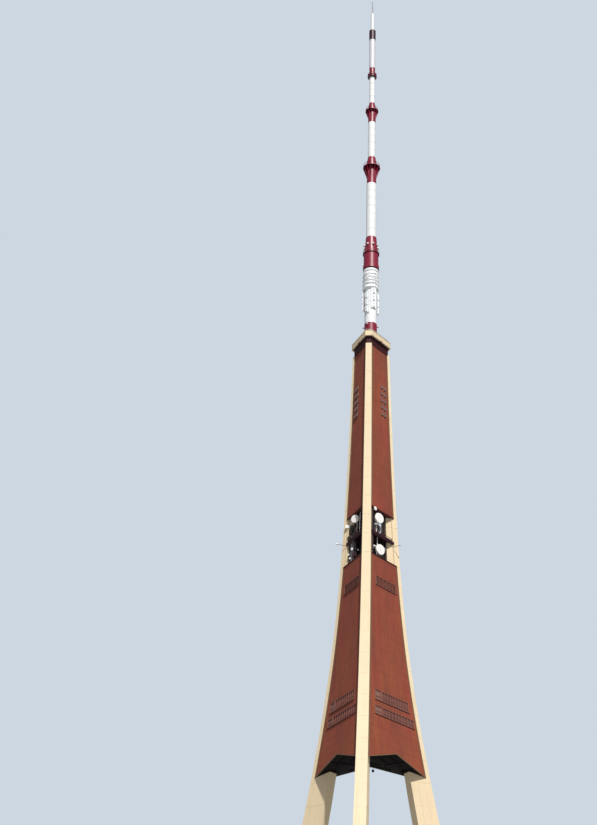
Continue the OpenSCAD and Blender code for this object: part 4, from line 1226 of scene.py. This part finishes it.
# Reflector sheets and panel covers in three tiers round the lower section, staggered from side to side
panels = {
    "sides": 6, "tiers": 3, "bays": 8, "first": (2.5, 1.9), "sheetR": 0.206, "sheet": (0.9, 1.0, 1.62),
    "coverR": 0.252, "apart": 0.052,
}
bay = (tube[2] - tube[1]) / panels["bays"]
sheets, covers = [], []
for k in range(panels["sides"]):
    angle = 30 + 60 * k
    for j in range(panels["tiers"]):
        z = tube[1] + bay * (panels["first"][k % 2] + j)
        sheets.append((atAxis(panels["sheetR"], angle, z), outward(angle), panels["sheet"]))
        for dz in (-panels["apart"], panels["apart"]):
            covers.append((atAxis(panels["coverR"], angle, z + dz), outward(angle)))
copies("reflector_sheets", blockShape("reflector", 0.2, 0.012, 0.16, 0.004), sheets, "white_cover")

# Stacked ring covers above them, each with a waist below
ringCovers = {
    "low": 0.615, "gap": 0.012, "pitch": 0.128, "proud": 0.248, "waist": 0.226, "inside": 0.19,
    "heights": (0.032, 0.040, 0.118, 0.124), "level": 0.3,
}
low, top = tube[1] + (tube[2] - tube[1]) * ringCovers["low"], tube[2] - ringCovers["gap"]
neck, swell, shoulder, end = ringCovers["heights"]
waist, proud, inside = (ringCovers[label] for label in ("waist", "proud", "inside"))
outline = [(inside, 0.0)]
for k in range(round((top - low) / ringCovers["pitch"])):
    h = k * ringCovers["pitch"]
    outline += [(waist, h), (waist, h + neck), (proud, h + swell), (proud, h + shoulder)]
outline += [(waist, h + end), (inside, h + end), (inside, 0.0)]
rings = turnedShape("ringCovers", outline, 48, upright=True)
for face in rings.data.polygons:
    face.use_smooth = abs(face.normal.z) < ringCovers["level"]
copies("ring_covers", rings, [(atAxis(0, 0, low), unturned)], "white_cover")
copies("panel_covers", blockShape("panelCover", 0.07, 0.016, 0.09, 0.006), covers, "white_cover")

# Bolted joints round the stacked sections as (section, radius, count), and upright seams between their covers
sections = {
    "joints": ((3, 0.165, 7), (5, 0.126, 5), (7, 0.095, 4)), "bolts": 12, "apart": 0.026, "sunk": 0.002,
    "seamFoot": 0.0015, "seamTop": 0.0008, "seamEnd": 0.03, "seam": (0.008, 0.004),
}
studs, lines = [], []
for k, r, count in sections["joints"]:
    for z in levels(tube[k], tube[k + 1], count)[1:-1]:
        for n in range(sections["bolts"]):
            studs += [
                (atAxis(r - sections["sunk"], 30 * n, z + dz), outward(30 * n))
                for dz in (-sections["apart"], sections["apart"])]
    lines += [[
        atAxis(r + sections["seamFoot"], 45 + 90 * n, tube[k] + sections["seamEnd"]),
        atAxis(r + sections["seamTop"], 45 + 90 * n, tube[k + 1] - sections["seamEnd"])] for n in range(4)]
copies("section_bolts", hexShape("smallBolt", 0.012, 0.008), studs, "white_cover")
bars("section_seams", lines, sections["seam"], "white_cover")

# Railings on the collars' discs, from (section, share of its height, radius, height of the rail)
collar = {
    "rows": (
        (2, 0.48, 0.262, 0.1), (4, 0.6, 0.28, 0.1), (6, 0.58, 0.216, 0.08), (8, 0.2, 0.152, 0.06)),
    "thick": 0.024, "rails": (0.5, 1.0), "past": 0.003, "wide": 0.006,
}
discs = [
    (tube[k] + share * (tube[k + 1] - tube[k]) + collar["thick"], r, rail)
    for k, share, r, rail in collar["rows"]]
hoops, uprights = [], []
for z, r, rail in discs:
    hoops += [[atAxis(r, 10 * n, z + rail * share) for n in range(36)] for share in collar["rails"]]
    uprights += [
        [atAxis(r + tilt, 30 * n, z), atAxis(r, 30 * n, z + rail + collar["past"])] for n in range(12)]
bars("collar_rails", hoops, collar["wide"], "red_paint", closed=True)
bars("collar_posts", uprights, collar["wide"], "red_paint")

# Round lamps on arms, from (height, radius, arm's start, size, angles), and small ones on two discs
lampRows = (
    (tube[2] + 0.9, 0.236, 0.185, 1.15, levels(22.5, 337.5, 7)),
    (tube[1] - 0.1, 0.232, 0.183, 0.8, (88, 178, 268, 338)))
lampSet = {"inset": 0.05, "small": (0.7, 0.7, 0.7), "angles": (45, 225), "armLow": 0.004}
beacon = turnedShape("beacon", [
    (0, 0), (0.018, 0), (0.018, 0.012), (0.026, 0.016), (0.03, 0.03), (0.026, 0.048), (0.014, 0.058),
    (0, 0.06)], 20, upright=True)
beacons, arms = [], []
for z, r, inner, size, angles in lampRows:
    for angle in angles:
        beacons.append((atAxis(r, angle, z), unturned, (size, size, size)))
        arms.append((atAxis(inner, angle, z - lampSet["armLow"]), outward(angle)))
beacons += [
    (atAxis(r - lampSet["inset"], angle, z), unturned, lampSet["small"])
    for z, r, _ in discs[1:3] for angle in lampSet["angles"]]
copies("beacon_lamps", beacon, beacons, "white_cover")
copies("beacon_arms", blockShape("beaconArm", 0.014, 0.08, 0.014, 0.003), arms, "red_paint")

# A ladder up the back of the antenna, and clamps on the rod at its tip
ladder = {
    "sections": ((1, 0.2), (3, 0.171), (5, 0.132), (7, 0.101)), "half": 0.028, "out": 0.012, "topOut": 0.0116,
    "end": 0.05, "margin": 0.04, "pitch": 0.06, "rail": (0.006, 0.01), "rung": 0.005,
}
rungs, rails = [], []
for k, r in ladder["sections"]:
    z0, z1 = tube[k] + ladder["end"], tube[k + 1] - ladder["end"]
    wide = math.degrees(ladder["half"] / r)
    angles = (180 - wide, 180 + wide)
    for angle in angles:
        rails.append([atAxis(r + ladder["out"], angle, z0), atAxis(r + ladder["topOut"], angle, z1)])
    rungs += [
        [atAxis(r + ladder["out"], angle, z) for angle in angles]
        for z in levels(z0 + ladder["margin"], z1 - ladder["margin"], round((z1 - z0) / ladder["pitch"]))]
bars("ladder_rails", rails, ladder["rail"], "grey_steel")
bars("ladder_rungs", rungs, ladder["rung"], "grey_steel")
clamp = turnedShape("rodCap", [
    (0, 0.0), (0.026, 0.0), (0.026, 0.02), (0.02, 0.03), (0, 0.03)], 24, upright=True)
copies("rod_clamps", clamp, [
    (atAxis(0, 0, tube[12] + rise), unturned, (size, size, 1.0)) for rise, size in ((0, 1.0), (0.3, 0.85))],
    "grey_steel")
print("antenna done")

for shape in shapes:
    spent = shape.data
    bpy.data.objects.remove(shape)
    bpy.data.meshes.remove(spent)

# Camera at the photograph's viewing angle, looking up from eye height, with the fitted roll
eye = {
    "away": 35.78, "height": 0.16, "azimuth": 5.124, "yaw": 3.502, "pitch": 28.558, "roll": -2.035,
    "lens": 58.13, "film": 36, "far": 400,
}
around = math.radians(eye["azimuth"])
camera = bpy.data.objects.new("camera", bpy.data.cameras.new("camera"))
camera.data.sensor_fit = "AUTO"
camera.data.sensor_width = eye["film"]
camera.data.lens = eye["lens"]
camera.data.clip_end = eye["far"]
turns = (eye["azimuth"] + eye["yaw"], "Z"), (90 + eye["pitch"], "X"), (-eye["roll"], "Z")
heading, pitch, roll = (Matrix.Rotation(math.radians(angle), 4, axis) for angle, axis in turns)
camera.matrix_world = heading @ pitch @ roll
camera.location = (eye["away"] * math.sin(around), axisY - eye["away"] * math.cos(around), eye["height"])
scene.collection.objects.link(camera)
scene.camera = camera

# Low soft sun from the right, over an even pale sky
sunSet = {"power": 4.1, "size": 2.0, "azimuth": 21.0, "elevation": 47.0, "colour": (1.0, 0.96, 0.9)}
sun = bpy.data.objects.new("sun", bpy.data.lights.new("sun", "SUN"))
sun.data.energy = sunSet["power"]
sun.data.angle = math.radians(sunSet["size"])
sun.data.color = sunSet["colour"]
sun.rotation_euler = (math.radians(90 - sunSet["elevation"]), 0, math.radians(sunSet["azimuth"]))
scene.collection.objects.link(sun)

sky = {"light": (0.86, 0.92, 1.0), "strength": 0.26, "seen": (0.61, 0.68, 0.76)}
world = bpy.data.worlds.new("studio")
scene.world = world
world.use_nodes = True
tree = world.node_tree
plain = feed(tree, tree.nodes["Background"], {"Color": sky["light"], "Strength": sky["strength"]})
seen = put(tree, "ShaderNodeBackground", {"Color": sky["seen"], "Strength": 1.0})
rays = put(tree, "ShaderNodeLightPath").outputs
shown = maths(tree, "MAXIMUM", rays["Is Camera Ray"], rays["Is Transmission Ray"])
mixer = put(tree, "ShaderNodeMixShader", {0: shown, 1: plain.outputs[0], 2: seen.outputs[0]})
feed(tree, tree.nodes["World Output"], {"Surface": mixer.outputs[0]})

ground = {
    "reach": 160, "sides": 96, "colour": (0.43, 0.425, 0.415), "patch": 0.4, "spread": 0.02, "rough": 0.8,
}
angles = [math.tau * k / ground["sides"] for k in range(ground["sides"])]
floor = meshObject(
    "floor", [(ground["reach"] * math.cos(a), ground["reach"] * math.sin(a), 0) for a in angles], (),
    [range(ground["sides"])])
floorPaint, tree, shader, _ = newMaterial("paleFloor")
tone = mottled(tree, objectPlace(tree), ground["patch"], ground["spread"])
feed(tree, shader, {"Base Color": scaled(tree, ground["colour"], tone), "Roughness": ground["rough"]})
floor.data.materials.append(floorPaint)
scene.view_settings.view_transform = "Standard"

print("camera, light and floor set")
